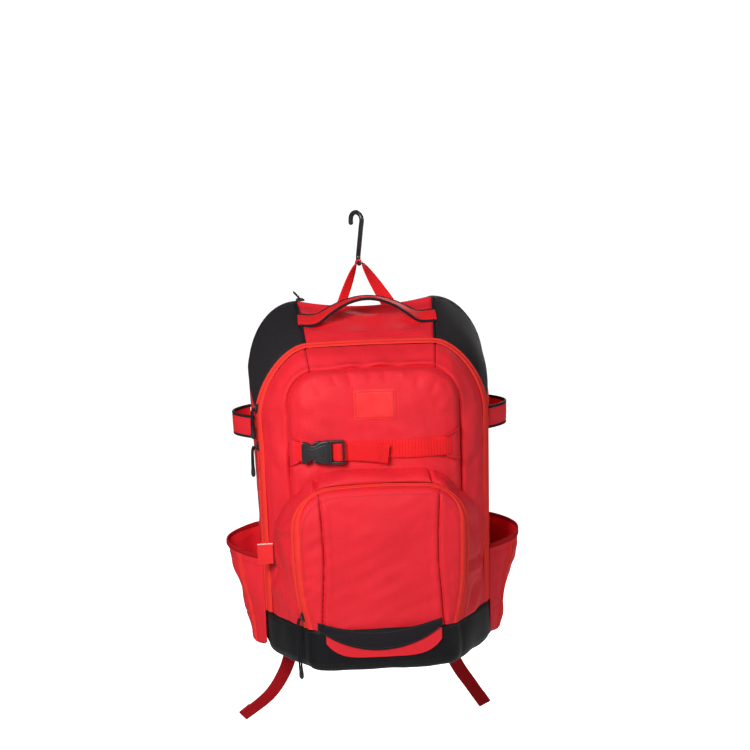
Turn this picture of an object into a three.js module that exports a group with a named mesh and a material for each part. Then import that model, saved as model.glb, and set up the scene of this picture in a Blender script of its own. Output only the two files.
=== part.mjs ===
// Bat backpack hanging from a fence hook: sewn panels, zips, pockets, straps and buckle.
// Millimetres. +X is to the right of someone who faces the bag, +Y to its back, +Z up.
// The origin is inside the upper bend of the fence hook, where the hook hangs.
import * as THREE from "three";

// Clearances and walls
const gap = 0.36;
const clothWall = 2;
const baseWall = 2.6;
const webWall = 1.8;

// Hook, and where the bag hangs below it
const wireRadius = 3.35;
const hookBend = 10;
const hookAngle = 44;
const hookTip = 15;
const hookDrop = 68;
const hookReach = 16;
const hookFootX = 1.5;
const hookFootY = -4;
const bagOffset = 7.7;

// Bag body: drops are measured down from the hang point
const backDrop = 120;
const bagHeight = 476;
const baseHeight = 60;
const backHalf = 166;
const baseHalf = 155;
const backDip = 11;
const cornerWide = 70;
const cornerTall = 97;
const bodyDepth = 100;
const zipHalf = 159;
const zipDrop = 163;
const tapeDepth = 8;
const tapeInset = 2.5;
const bandDepth = 38;
const seamHalf = 117;
const seamDrop = 193;
const seamCorner = 46;
const upperCrown = 27;
const rearTape = 8;
const padThick = 13;
const edgeShare = 0.4;

// Front strap's height, and the lower pocket that starts below it
const strapDrop = 300;
const strapToPocket = 26;
const pocketDrop = strapDrop + strapToPocket;
const pocketTopHalf = 74;
const flareHalf = 143;
const flareTall = 78;
const lowerBand = 18;
const lowerZipDrop = pocketDrop + lowerBand;
const lowerZipHalf = 117;
const lowerZipLow = 104;
const lowerZipCorner = 56;
const gussetDepth = 50;
const lowerTape = 6;
const lowerCrown = 16;
const gussetSwell = 5;
const pocketFlareLow = 5;

// Base
const baseBottomRound = 13;
const insetHalf = 78;
const insetTall = 36;
const bandHalf = 84;
const bandTall = 38;
const bandDip = 8;
const bandLift = 9;
const bandEnd = 5;

// Bat pockets and bat straps at the sides
const rimDrop = 448;
const rimFall = 12;
const pocketBulge = 44;
const pocketRear = 4;
const pocketFront = 101;
const batStrapDrop = 264;
const batStrapWide = 28;
const batStrapBulge = 24;

// Handle, loop and strap webbing
const handleWide = 26;
const handleFoot = 70;
const handleDepth = 52;
const handleRise = 35;
const handleThick = 2.4;
const bindingWide = 3;
const loopWide = 20;
const loopSpread = 37;
const loopTwist = -1.38;
const loopPinch = 0.6;
const webWide = 25;
const tailWide = 20;
const wingTall = 46;
const wingReach = 16;
const wingNarrow = 30;
const buckleLong = 59;
const buckleTall = 33;
const buckleThick = 10;
const freeEnd = 57;
const freeEndDrop = 6;
const latchBar = 0.86;
const labelWide = 56;
const labelTall = 40;
const labelDrop = 219;
const tagWide = 21;
const tagTall = 28;
const tagDrop = 438;
const tagOver = 6;

// Shoulder straps behind the bag
const yokeHalf = 46;
const padWide = 66;
const padEndWide = 40;
const padDeep = 12;
const padTopDrop = 168;
const padEndDrop = 478;
const padBow = 44;
const padSpread = 104;
const anchorHalf = 128;
const anchorDrop = 566;
const lockLong = 22;
const lockThick = 5;
const webSag = 4;
const tailSway = 0.08;
const tailLong = 245;

// Zip sliders and pull cords
const sliderLong = 13;
const sliderWide = 8;
const sliderTall = 5;
const sliderSeat = 0.8;
const sliderHeights = { main_slider_upper: 250, main_slider_lower: 302 };
const cordWide = 2.6;
const cordSpread = 7;
const mainCordDrop = 40;
const lowerSliderDrop = 520;
const baseCordDrop = 80;
const baseCordSway = 6;
const rearSliderX = 90;
const tabLong = 16;

// Grid counts
const sideSteps = 6;
const cornerSteps = 6;
const topSteps = 8;

const bottomZ = -(backDrop + bagHeight);
const lowZ = bottomZ + baseHeight;
const zipFrontY = -(bodyDepth + tapeDepth);
const seamY = zipFrontY - bandDepth;
const lowerZipY = seamY - gussetDepth;
const pocketY = lowerZipY - lowerTape - lowerCrown;

// Materials

function paint(hex, roughness) {
  return new THREE.MeshStandardMaterial({ color: hex, roughness, metalness: 0 });
}
const redCloth = paint(0xe02c38, 0.8);
const blackCloth = paint(0x332c31, 0.8);
const coatedCloth = paint(0x252427, 0.5);
const zipTape = paint(0xf43a2e, 0.7);
const redWebbing = paint(0xe02a2e, 0.7);
const shadeWebbing = paint(0x9a1219, 0.7);
const blackTrim = paint(0x1d1b1d, 0.6);
const blackPlastic = paint(0x3a3536, 0.45);
const backMesh = paint(0x2c2a2d, 0.9);
const labelCloth = paint(0xd9303c, 0.7);
const hookCoat = paint(0x141415, 0.35);

// Surface helpers: a grid is rows of points, and rows and columns both run along the cloth

function lerp(a, b, t) {
  return a + (b - a) * t;
}

function point(x, y, z) {
  return new THREE.Vector3(x, y, z);
}

function steps(from, to, count) {
  return Array.from({ length: count + 1 }, (_, k) => lerp(from, to, k / count));
}

function normals(grid, flip = 1, loop = false) {
  const last = grid.length - 1;
  const end = grid[0].length - 1;
  return grid.map((row, i) => row.map((p, j) => {
    const before = grid[Math.max(i - 1, 0)][j];
    const after = grid[Math.min(i + 1, last)][j];
    const left = row[loop && j === 0 ? end - 1 : Math.max(j - 1, 0)];
    const right = row[loop && j === end ? 1 : Math.min(j + 1, end)];
    const along = after.clone().sub(before);
    const across = right.clone().sub(left);
    return along.cross(across).normalize().multiplyScalar(flip);
  }));
}

// Normals of a skin that closes on its middle line and stands on the base with a level edge
function skinNormals(grid) {
  const directions = normals(grid);
  for (const direction of directions[grid.length - 1]) direction.set(0, -1, 0);
  for (const row of directions) {
    row[0].setZ(0).normalize();
    row[row.length - 1].setZ(0).normalize();
  }
  return directions;
}

function offset(grid, directions, distance) {
  return grid.map((row, i) => row.map((p, j) => p.clone().addScaledVector(directions[i][j], distance)));
}

// The closed solid between two grids of the same size. A loop's last column meets its first, and
// a grid whose last row closes on itself has no wall there.
function between(outer, inner, { loop = false, closedEnd = false } = {}) {
  const rows = outer.length;
  const columns = outer[0].length;
  const places = new Map();
  const positions = [];
  const indices = [];
  const key = (p) => `${p.x.toFixed(4)},${p.y.toFixed(4)},${p.z.toFixed(4)}`;
  const place = (p) => {
    const name = key(p);
    if (!places.has(name)) {
      places.set(name, positions.length / 3);
      positions.push(p.x, p.y, p.z);
    }
    return places.get(name);
  };
  const corner = (a, b, c) => {
    if (a !== b && b !== c && a !== c) indices.push(a, b, c);
  };
  const quad = (a, b, c, d) => {
    corner(place(a), place(b), place(c));
    corner(place(a), place(c), place(d));
  };
  for (let i = 0; i + 1 < rows; i += 1) {
    for (let j = 0; j + 1 < columns; j += 1) {
      quad(outer[i][j], outer[i + 1][j], outer[i + 1][j + 1], outer[i][j + 1]);
      quad(inner[i][j], inner[i][j + 1], inner[i + 1][j + 1], inner[i + 1][j]);
    }
  }
  if (!loop) {
    const end = columns - 1;
    for (let i = 0; i + 1 < rows; i += 1) {
      quad(outer[i + 1][0], outer[i][0], inner[i][0], inner[i + 1][0]);
      quad(outer[i][end], outer[i + 1][end], inner[i + 1][end], inner[i][end]);
    }
  }
  for (let j = 0; j + 1 < columns; j += 1) {
    quad(outer[0][j], outer[0][j + 1], inner[0][j + 1], inner[0][j]);
    if (!closedEnd) {
      const end = rows - 1;
      quad(outer[end][j + 1], outer[end][j], inner[end][j], inner[end][j + 1]);
    }
  }
  const geometry = new THREE.BufferGeometry();
  geometry.setAttribute("position", new THREE.Float32BufferAttribute(positions, 3));
  geometry.setIndex(signedVolume(positions, indices) < 0 ? indices.reverse() : indices);
  geometry.computeVertexNormals();
  return geometry;
}

function signedVolume(positions, indices) {
  const at = (k) => point(positions[3 * k], positions[3 * k + 1], positions[3 * k + 2]);
  let total = 0;
  for (let k = 0; k < indices.length; k += 3) {
    total += at(indices[k]).dot(at(indices[k + 1]).cross(at(indices[k + 2])));
  }
  return total;
}

function layer(grid, from, to, flip = 1, options = {}) {
  const directions = normals(grid, flip);
  return between(offset(grid, directions, to), offset(grid, directions, from), options);
}

// The skin of a grid looked at along one axis: the outermost place over a point of the other two.
function skinAt(grid, axis, sign, p, q) {
  const [first, second] = { x: ["y", "z"], y: ["x", "z"], z: ["x", "y"] }[axis];
  let best = null;
  const test = (a, b, c) => {
    const ux = b[first] - a[first];
    const uy = b[second] - a[second];
    const vx = c[first] - a[first];
    const vy = c[second] - a[second];
    const area = ux * vy - uy * vx;
    if (Math.abs(area) < 1e-9) return;
    const wx = p - a[first];
    const wy = q - a[second];
    const s = (wx * vy - wy * vx) / area;
    const t = (ux * wy - uy * wx) / area;
    if (s < -1e-6 || t < -1e-6 || s + t > 1 + 1e-6) return;
    const height = a[axis] + s * (b[axis] - a[axis]) + t * (c[axis] - a[axis]);
    if (best === null || sign * height > sign * best) best = height;
  };
  for (let i = 0; i + 1 < grid.length; i += 1) {
    for (let j = 0; j + 1 < grid[i].length; j += 1) {
      test(grid[i][j], grid[i + 1][j], grid[i + 1][j + 1]);
      test(grid[i][j], grid[i + 1][j + 1], grid[i][j + 1]);
    }
  }
  return best;
}

// Arches: every ring of the bag has the same stations, so seams run from ring to ring

function sideStations(side) {
  const shares = (part, count) => steps(0, 1, count).slice(0, -1).map((share) => ({ side, part, share }));
  return [...shares("side", sideSteps), ...shares("corner", cornerSteps)];
}
const topStations = steps(0, 1, topSteps).map((share) => ({ side: 1, part: "top", share }));
const stations = [...sideStations(-1), ...topStations, ...sideStations(1).reverse()];

const topFrom = sideSteps + cornerSteps;
const topTo = topFrom + topSteps;
const rightFrom = topTo + cornerSteps;
const lastStation = stations.length - 1;

// One ring: straight sides that lean from lowHalf out to half, corners that are part of a
// superellipse with the exponent round, and a top edge that dips by dip in the middle.
function ring({ y, half, topHalf, drop, tall, round = 2, lowHalf, low = lowZ, dip = 0, tuck = 1 }) {
  const cornerZ = -drop - tall;
  return stations.map(({ side, part, share }) => {
    if (part === "top") {
      const across = 2 * share - 1;
      return point(across * topHalf, y, -drop - dip * (1 - across * across));
    }
    if (part === "corner") {
      const angle = share * Math.PI / 2;
      const out = (half - topHalf) * Math.cos(angle) ** (2 / round);
      return point(side * (topHalf + out), y, cornerZ + tall * Math.sin(angle) ** (2 / round));
    }
    const bend = 1 - (1 - share) ** tuck;
    return point(side * lerp(lowHalf, half, bend), y, lerp(low, cornerZ, share));
  });
}

function blendRings(a, b, share) {
  return Object.fromEntries(Object.keys(a).map((name) => [name, lerp(a[name], b[name], share)]));
}

const backRing = {
  y: 0, half: backHalf, topHalf: backHalf - cornerWide, drop: backDrop, tall: cornerTall,
  round: 2, lowHalf: baseHalf, dip: backDip, tuck: 1,
};
const zipRing = {
  y: -bodyDepth, half: zipHalf, topHalf: zipHalf - cornerWide, drop: zipDrop, tall: cornerTall,
  round: 1.65, lowHalf: baseHalf, dip: -1, tuck: 1,
};
const tapeRing = {
  ...zipRing, y: zipFrontY, half: zipHalf - tapeInset, topHalf: zipHalf - cornerWide - tapeInset,
  drop: zipDrop + 2 * tapeInset, lowHalf: baseHalf - tapeInset,
};
const seamRing = {
  y: seamY, half: seamHalf, topHalf: seamHalf - seamCorner, drop: seamDrop, tall: seamCorner,
  round: 2, lowHalf: seamHalf, dip: -1, tuck: 1,
};

// Rows of the body from the back seam to the main zip: how far along, and how much it swells
const gussetRows = [
  { along: 0, swell: 0 },
  { along: 0.25, swell: 2.5 },
  { along: 0.6, swell: 4 },
  { along: 1, swell: 0 },
];
// Rows of the front band from the tape to the inner seam, which bulges to the front
const bandRows = [
  { along: 0.4, forward: 0.16 },
  { along: 0.8, forward: 0.1 },
  { along: 1, forward: 0 },
];
// Rows of a pocket's face from its seam in to its middle line
const faceRows = [
  { inward: 0.07, crown: 0.42 },
  { inward: 0.22, crown: 0.74 },
  { inward: 0.5, crown: 0.93 },
  { inward: 1, crown: 1 },
];

function faceGrid(edge, edgeY, crown, middleZ) {
  return faceRows.map(({ inward, crown: rise }) => edge.map((p) => {
    const spine = point(0, 0, Math.min(p.z, middleZ));
    return point(lerp(p.x, spine.x, inward), edgeY - crown * rise, lerp(p.z, spine.z, inward));
  }));
}

function bodyGrid() {
  const rows = gussetRows.map(({ along, swell }) => {
    const shape = blendRings(backRing, zipRing, along);
    shape.half += swell;
    shape.lowHalf += swell / 2;
    shape.drop -= swell;
    return ring(shape);
  });
  rows.push(ring(tapeRing));
  for (const { along, forward } of bandRows) {
    const shape = blendRings(tapeRing, seamRing, along);
    shape.y -= forward * bandDepth;
    rows.push(ring(shape));
  }
  const edge = rows[rows.length - 1];
  return rows.concat(faceGrid(edge, seamY, upperCrown, -seamDrop - 2 * seamCorner));
}

const body = bodyGrid();
const zipRow = gussetRows.length - 1;
const tapeRow = zipRow + 1;
const seamRow = tapeRow + bandRows.length;
const spineRow = body.length - 1;
const bodyOut = skinNormals(body);
for (const direction of bodyOut[0]) direction.setY(0).normalize();

// A panel is cut out of the whole skin, so that neighbours meet at a mitre with the gap between
function panel(grid, directions, wall, [rowA, rowB], [columnA, columnB], options = {}) {
  const cut = (level) => {
    const rows = [];
    for (let i = rowA; i <= rowB; i += 1) rows.push(level[i].slice(columnA, columnB + 1));
    const trimmed = rows.map((row) => row.map((p) => p.clone()));
    const end = rows.length - 1;
    const pull = (target, from, towards) => {
      const span = towards.distanceTo(from);
      target.add(towards.clone().sub(from).multiplyScalar(gap / 2 / span));
    };
    for (let j = 0; j < rows[0].length; j += 1) {
      if (options.seat) options.seat(trimmed[0][j]);
      else if (rowA > 0) pull(trimmed[0][j], rows[0][j], rows[1][j]);
      if (!options.closedEnd) pull(trimmed[end][j], rows[end][j], rows[end - 1][j]);
    }
    const edge = rows[0].length - 1;
    for (let i = 0; i < rows.length; i += 1) {
      pull(trimmed[i][0], rows[i][0], rows[i][1]);
      pull(trimmed[i][edge], rows[i][edge], rows[i][edge - 1]);
    }
    return trimmed;
  };
  return between(cut(grid), cut(offset(grid, directions, -wall)), options);
}

const bag = new THREE.Group();
bag.position.x = bagOffset;

function add(name, geometry, material, group = bag) {
  const mesh = new THREE.Mesh(geometry, material);
  mesh.name = name;
  group.add(mesh);
  return mesh;
}

// Body panels
const whole = [0, lastStation];
add("side_wall_left", panel(body, bodyOut, clothWall, [0, zipRow], [0, sideSteps]), redCloth);
add("side_panel_left", panel(body, bodyOut, clothWall, [0, zipRow], [sideSteps, topFrom]), blackCloth);
add("top_panel", panel(body, bodyOut, clothWall, [0, zipRow], [topFrom, topTo]), redCloth);
add("side_panel_right", panel(body, bodyOut, clothWall, [0, zipRow], [topTo, rightFrom]), blackCloth);
add("side_wall_right", panel(body, bodyOut, clothWall, [0, zipRow], [rightFrom, lastStation]), redCloth);
add("main_zip", panel(body, bodyOut, clothWall, [zipRow, tapeRow], whole), zipTape);
add("front_shell", panel(body, bodyOut, clothWall, [tapeRow, seamRow], whole), redCloth);
add("upper_pocket", panel(body, bodyOut, clothWall, [seamRow, spineRow], whole, { closedEnd: true }),
  redCloth);

// Places on the skin that clear everything within reach of a point

function clearSkin(grid, axis, sign, p, q, reach) {
  let best = null;
  for (const stepP of [-1, 0, 1]) {
    for (const stepQ of [-1, 0, 1]) {
      const found = skinAt(grid, axis, sign, p + stepP * reach, q + stepQ * reach);
      if (found !== null && (best === null || sign * found > sign * best)) best = found;
    }
  }
  return best;
}

// Lower pocket: a gusset that flares at the foot, its own arch zip, and a crowned face
const rimShape = {
  y: 0, half: flareHalf, topHalf: pocketTopHalf, drop: pocketDrop, tall: flareTall,
  round: 1.15, lowHalf: flareHalf + pocketFlareLow, dip: 0, tuck: 1,
};
const lowerZipShape = {
  y: lowerZipY, half: lowerZipHalf, topHalf: lowerZipHalf - lowerZipCorner, drop: lowerZipDrop,
  tall: lowerZipCorner, round: 2, lowHalf: lowerZipLow, dip: -2, tuck: 3,
};
const lowerTapeShape = {
  ...lowerZipShape, y: lowerZipY - lowerTape, half: lowerZipHalf - tapeInset,
  drop: lowerZipDrop + tapeInset, lowHalf: lowerZipLow - tapeInset,
};
const seatReach = 7;

function seatOnBody(p) {
  p.y = clearSkin(body, "y", -1, p.x, Math.max(p.z, lowZ + gap), seatReach) - gap;
}

function lowerGrid() {
  const rim = ring(rimShape);
  rim.forEach(seatOnBody);
  const zip = ring(lowerZipShape);
  const middle = rim.map((p, j) => p.clone().lerp(zip[j], 0.55).add(point(0, -gussetSwell, 0)));
  const tape = ring(lowerTapeShape);
  return [rim, middle, zip, tape].concat(
    faceGrid(tape, lowerTapeShape.y, lowerCrown, -lowerZipDrop - lowerZipCorner),
  );
}

const lower = lowerGrid();
const lowerOut = skinNormals(lower);
const lowerEnd = lower.length - 1;
add("lower_gusset", panel(lower, lowerOut, clothWall, [0, 2], whole, { seat: seatOnBody }), redCloth);
add("lower_zip", panel(lower, lowerOut, clothWall, [2, 3], whole), zipTape);
add("lower_pocket", panel(lower, lowerOut, clothWall, [3, lowerEnd], whole, { closedEnd: true }),
  redCloth);

// Back: the rear zip between the body and the padded back panel
const rearZip = [{ ...backRing, y: rearTape }, { ...backRing, y: gap }].map(ring);
add("rear_zip", layer(rearZip, -clothWall, 0), blackTrim);

const backEdge = ring({ ...backRing, y: rearTape, low: bottomZ + baseBottomRound });
const backRows = [backEdge].concat(faceGrid(backEdge, 0, 1, -backDrop - 2 * cornerTall));
const backHeights = [edgeShare].concat(faceRows.map(({ crown }) => lerp(edgeShare, 1, crown)));
const backLevel = (height) => backRows.map((row, i) => (
  row.map((p) => point(p.x, rearTape + height(i), p.z))));
const backSkin = backLevel((i) => backHeights[i] * padThick);
add("back_panel", between(backSkin, backLevel(() => gap), { closedEnd: true }), backMesh);

// Base: a tray whose rim is the plan of everything that stands on it
function basePlan() {
  const left = [point(-baseHalf, rearTape, 0)];
  for (let i = 0; i <= tapeRow; i += 1) left.push(body[i][0]);
  for (let i = 0; i <= lowerEnd; i += 1) left.push(lower[i][0]);
  const right = left.slice(0, -1).reverse().map((p) => point(-p.x, p.y, 0));
  return [...left, ...right, left[0]];
}

const baseRows = [
  { down: 0, inset: 0 },
  { down: 0.45, inset: 0 },
  { down: 1, inset: 0, round: 1 },
  { down: 1, inset: 0.3, round: 0.3 },
  { down: 1, inset: 1, round: 0 },
];

function baseGrid() {
  const plan = basePlan();
  const middle = point(0, (rearTape + pocketY) / 2, 0);
  const rows = baseRows.map(({ down, inset, round = 0 }) => plan.map((p) => {
    const z = lerp(lowZ - gap / 2, bottomZ, down) + round * baseBottomRound;
    const arm = point(p.x - middle.x, p.y - middle.y, 0);
    const share = 1 - inset * baseBottomRound / arm.length();
    return point(middle.x + arm.x * share, middle.y + arm.y * share, z);
  }));
  rows.push(plan.map(() => point(middle.x, middle.y, bottomZ)));
  return rows;
}

const base = baseGrid();
const baseOut = normals(base, 1, true);
for (const row of baseOut.slice(-2)) for (const direction of row) direction.set(0, 0, -1);
for (const direction of baseOut[0]) direction.setZ(0).normalize();
add("base_panel", between(base, offset(base, baseOut, -baseWall), { loop: true }), coatedCloth);

// Patches that lie on the front: a grid of x and z, seated on what is behind it
function frontSkin(x, z, reach) {
  const found = [body, lower, base]
    .map((grid) => clearSkin(grid, "y", -1, x, z, reach))
    .filter((y) => y !== null);
  return Math.min(...found);
}

function frontPatch(xs, rowsAt, reach) {
  const rows = rowsAt(xs[0]).length;
  const grid = [];
  for (let i = 0; i < rows; i += 1) {
    grid.push(xs.map((x) => point(x, frontSkin(x, rowsAt(x)[i], reach), rowsAt(x)[i])));
  }
  return grid;
}

// Base front: a red inset behind a smile-shaped band
const insetRows = (x) => {
  const inner = 1 - Math.abs(x / insetHalf) ** 3;
  return steps(lowZ - bandDip / 2, lowZ - bandDip / 2 - insetTall * lerp(0.4, 1, inner), 3);
};
const inset = frontPatch(steps(-insetHalf, insetHalf, 12), insetRows, 4);
add("base_inset", layer(inset, gap, gap + webWall), redCloth);
const smileRows = (x) => {
  const rise = 1 - (x / bandHalf) ** 2;
  const top = lowZ + bandLift - bandDip * rise;
  return steps(top, top - bandEnd - (bandTall - bandEnd) * rise, 2);
};
const smile = frontPatch(steps(-bandHalf, bandHalf, 14), smileRows, 4);
add("smile_band", layer(smile, 2 * gap + webWall, 2 * gap + 2 * webWall), blackTrim);

// Label and side tag
const label = frontPatch(steps(-labelWide / 2, labelWide / 2, 4),
  () => steps(-labelDrop, -labelDrop - labelTall, 3), 4);
add("label_patch", layer(label, gap, gap + webWall), labelCloth);
function sideTag() {
  const rows = steps(-tagDrop, -tagDrop - tagTall, 2);
  const xs = steps(-zipHalf - tagOver, -zipHalf - tagOver + tagWide, 3);
  const y = Math.min(...rows.map((z) => frontSkin(Math.max(...xs), z, 0.5)));
  return layer(rows.map((z) => xs.map((x) => point(x, y, z))), gap, gap + webWall);
}
add("side_tag", sideTag(), labelCloth);

// Bat pockets: each section bulges from the side wall, more at the rim than at the foot
const pocketRows = [
  { down: 0, swell: 1 },
  { down: 0.14, swell: 0.92 },
  { down: 0.28, swell: 0.82 },
  { down: 0.45, swell: 0.7 },
  { down: 0.66, swell: 0.6 },
  { down: 0.86, swell: 0.42 },
  { down: 0.97, swell: 0.2 },
  { down: 1, swell: 0 },
];
const pocketColumns = [0, 0.08, 0.2, 0.36, 0.52, 0.68, 0.8, 0.9, 0.96, 1];

function wallHalf(side, y, z, reach) {
  return Math.abs(clearSkin(body, "x", side, y, Math.max(z, lowZ + gap), reach));
}

function sidePocket(side) {
  return pocketRows.map(({ down, swell }) => pocketColumns.map((across) => {
    const y = lerp(-pocketRear, -pocketFront, across);
    const rimZ = -rimDrop + rimFall * (1 - 2 * across);
    const z = lerp(rimZ, bottomZ + gap, down);
    const out = gap + clothWall + pocketBulge * swell * Math.sin(Math.PI * across) ** 0.8;
    return point(side * (wallHalf(side, y, z, 2) + out), y, z);
  }));
}

function strip(grid, column, from, to) {
  return grid.map((row) => [from, to].map((share) => row[column].clone().lerp(row[column + 1], share)));
}

// Bat straps: a band of cloth that stands off the side wall
function batStrap(side) {
  return [0, 0.5, 1].map((down) => steps(0, 1, 10).map((across) => {
    const y = lerp(-pocketRear, -pocketFront + 8, across);
    const z = -batStrapDrop - batStrapWide * down;
    const out = gap + webWall + batStrapBulge * Math.sin(Math.PI * across) ** 0.8;
    return point(side * (wallHalf(side, y, z, 1) + out), y, z);
  }));
}

for (const [name, side] of [["left", -1], ["right", 1]]) {
  const pocket = sidePocket(side);
  add(`side_pocket_${name}`, layer(pocket, -clothWall, 0, -side), redCloth);
  const tape = strip(pocket.slice(0, -1), 5, 0.2, 0.75);
  add(`side_zip_${name}`, layer(tape, 0.5, 0.5 + 1.2, -side), zipTape);
  add(`bat_strap_${name}`, layer(batStrap(side), -webWall, 0, -side), redCloth);
}

// Haul handle: a bound strip across the top that lifts off between its feet
function handleStrip(fromY, toY) {
  const end = backHalf - cornerWide;
  const footZ = (y) => skinAt(body, "z", 1, handleFoot, y);
  return [fromY, toY].map((y) => steps(-end, end, 28).map((x) => {
    const skin = clearSkin(body, "z", 1, x, y, 2);
    const share = Math.min(Math.abs(x) / handleFoot, 1);
    const lifted = footZ(y) + handleRise * (1 - share ** 1.4);
    return point(x, y, share < 1 ? Math.max(lifted, skin) : skin);
  }));
}
const handleFront = -handleDepth - handleWide / 2;
const handleRear = -handleDepth + handleWide / 2;
for (const [name, from, to, material] of [
  ["haul_handle", handleRear, handleFront, redWebbing],
  ["handle_binding_rear", handleRear + gap + bindingWide, handleRear + gap, blackTrim],
  ["handle_binding_front", handleFront - gap, handleFront - gap - bindingWide, blackTrim],
]) {
  add(name, layer(handleStrip(from, to), gap, gap + handleThick), material);
}

// Ribbons: flat webbing along a path, with its own width direction at each step
function ribbon(centres, widthDirections, width, thick) {
  const grid = [-0.5, 0.5].map((share) => centres.map((p, k) => (
    p.clone().addScaledVector(widthDirections[k], share * width))));
  return layer(grid, -thick / 2, thick / 2);
}

// Hang loop: two legs of webbing from the top edge over the hook's lower bend
function hangLoop() {
  const turnRadius = wireRadius + gap + webWall / 2;
  const apex = point(hookFootX - bagOffset, hookFootY, -hookDrop);
  const footZ = clearSkin(rearZip, "z", 1, loopSpread, rearTape / 2, loopWide / 2) + 2 * gap;
  const centres = [];
  const widths = [];
  const put = (x, y, z, share) => {
    const turn = loopTwist * share;
    const pinch = lerp(loopPinch, 1, share);
    centres.push(point(x, y, z));
    widths.push(point(-Math.sin(turn) * pinch, Math.cos(turn) * pinch, 0));
  };
  const legSteps = 5;
  for (let k = 0; k < legSteps; k += 1) {
    const share = k / legSteps;
    put(lerp(-loopSpread, apex.x - turnRadius, share), lerp(rearTape / 2, apex.y, share),
      lerp(footZ, apex.z, share), 1 - share);
  }
  for (let k = 0; k <= 6; k += 1) {
    const angle = Math.PI * (1 - k / 6);
    put(apex.x + turnRadius * Math.cos(angle), apex.y, apex.z + turnRadius * Math.sin(angle), 0);
  }
  for (let k = legSteps - 1; k >= 0; k -= 1) {
    const share = k / legSteps;
    put(lerp(loopSpread, apex.x + turnRadius, share), lerp(rearTape / 2, apex.y, share),
      lerp(footZ, apex.z, share), 1 - share);
  }
  return ribbon(centres, widths, loopWide, webWall);
}
add("hang_loop", hangLoop(), redWebbing);

// Tubes along a path
function tube(points, radius, sides, count) {
  const outline = new THREE.Shape();
  for (let k = 0; k < sides; k += 1) {
    const angle = 2 * Math.PI * k / sides;
    outline[k ? "lineTo" : "moveTo"](radius * Math.cos(angle), radius * Math.sin(angle));
  }
  return new THREE.ExtrudeGeometry(outline, {
    steps: count, extrudePath: new THREE.CatmullRomCurve3(points), bevelEnabled: false,
  });
}

function fenceHook() {
  const turn = hookAngle * Math.PI / 180;
  const reach = (distance, z) => point(distance * Math.cos(turn), -distance * Math.sin(turn), z);
  const bendZ = wireRadius - hookBend;
  const points = [reach(-hookBend, -hookTip)];
  for (let k = 0; k <= 6; k += 1) {
    const angle = Math.PI * (1 - k / 6);
    points.push(reach(hookBend * Math.cos(angle), bendZ + hookBend * Math.sin(angle)));
  }
  points.push(reach(0.92 * hookBend, -2 * hookBend));
  points.push(point(0.45 * hookBend, 0, -0.6 * hookDrop));
  points.push(point(hookFootX, hookFootY + 1.7 * hookBend, -0.8 * hookDrop));
  points.push(point(hookFootX, hookFootY + 1.5 * hookBend, 0.6 * hookBend - hookDrop));
  points.push(point(hookFootX, hookFootY + 0.9 * hookBend, -hookDrop));
  points.push(point(hookFootX, hookFootY, -hookDrop));
  points.push(point(hookFootX, hookFootY - hookReach, -hookDrop));
  return tube(points, wireRadius, 10, 44);
}
const hanging = new THREE.Group();
add("fence_hook", fenceHook(), hookCoat, hanging);

// Front strap: wings at the seams, webbing, a buckle and the doubled free end
const strapReach = 5;
function strapPatch([fromX, toX], [fromTall, toTall], count, options = {}) {
  const { drop = 0, shift = 0, reach = strapReach } = options;
  const xs = steps(fromX, toX, count);
  const middle = (x) => -strapDrop - drop * (x - fromX) / (toX - fromX);
  const tall = (x) => lerp(fromTall, toTall, (x - fromX) / (toX - fromX));
  const grid = frontPatch(xs, (x) => steps(middle(x) + tall(x) / 2, middle(x) - tall(x) / 2, 2), reach);
  for (let j = 0; j < xs.length; j += 1) {
    const y = Math.min(...grid.map((row) => row[j].y));
    for (const row of grid) row[j].y = y;
  }
  return layer(grid, gap + shift, gap + shift + webWall);
}
const wingEdge = seamHalf - 1;
const buckleFrom = -wingEdge + wingReach;
const buckleTo = buckleFrom + buckleLong;
const webLeftFrom = -wingEdge + wingReach / 2;
const flat = [webWide, webWide];
const near = { reach: 1 };
add("strap_wing_left", strapPatch([-wingEdge, webLeftFrom - gap], [wingTall, wingNarrow], 2, near),
  redCloth);
add("front_strap_left", strapPatch([webLeftFrom, buckleFrom - gap], flat, 2, near), redWebbing);
add("front_strap_right", strapPatch([buckleTo + gap, wingEdge - wingReach - gap], flat, 12), redWebbing);
add("strap_wing_right", strapPatch([wingEdge - wingReach, wingEdge], [wingNarrow, wingTall], 3, near),
  redCloth);
add("strap_free_end", strapPatch([buckleTo + gap, buckleTo + freeEnd], flat, 5,
  { drop: freeEndDrop, shift: webWall + gap }), redWebbing);

const buckleRows = [
  { along: 0, half: 0.86 },
  { along: 0.08, half: 0.9 },
  { along: 0.24, half: 0.6 },
  { along: 0.3, half: 0.62 },
  { along: 0.44, half: 0.9 },
  { along: 0.66, half: 0.98 },
];

function buckleShape(points) {
  const outline = new THREE.Shape();
  points.forEach(([x, z], k) => outline[k ? "lineTo" : "moveTo"](x, z));
  return outline;
}

function plate(outline, thick) {
  const geometry = new THREE.ExtrudeGeometry(outline, { depth: thick, bevelEnabled: false });
  return geometry.rotateX(Math.PI / 2);
}

function socketShape() {
  const top = buckleRows.map(({ along, half }) => [along * buckleLong, half * buckleTall / 2]);
  const low = top.map(([x, z]) => [x, -z]).reverse();
  return buckleShape([...top, ...low]);
}

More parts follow.
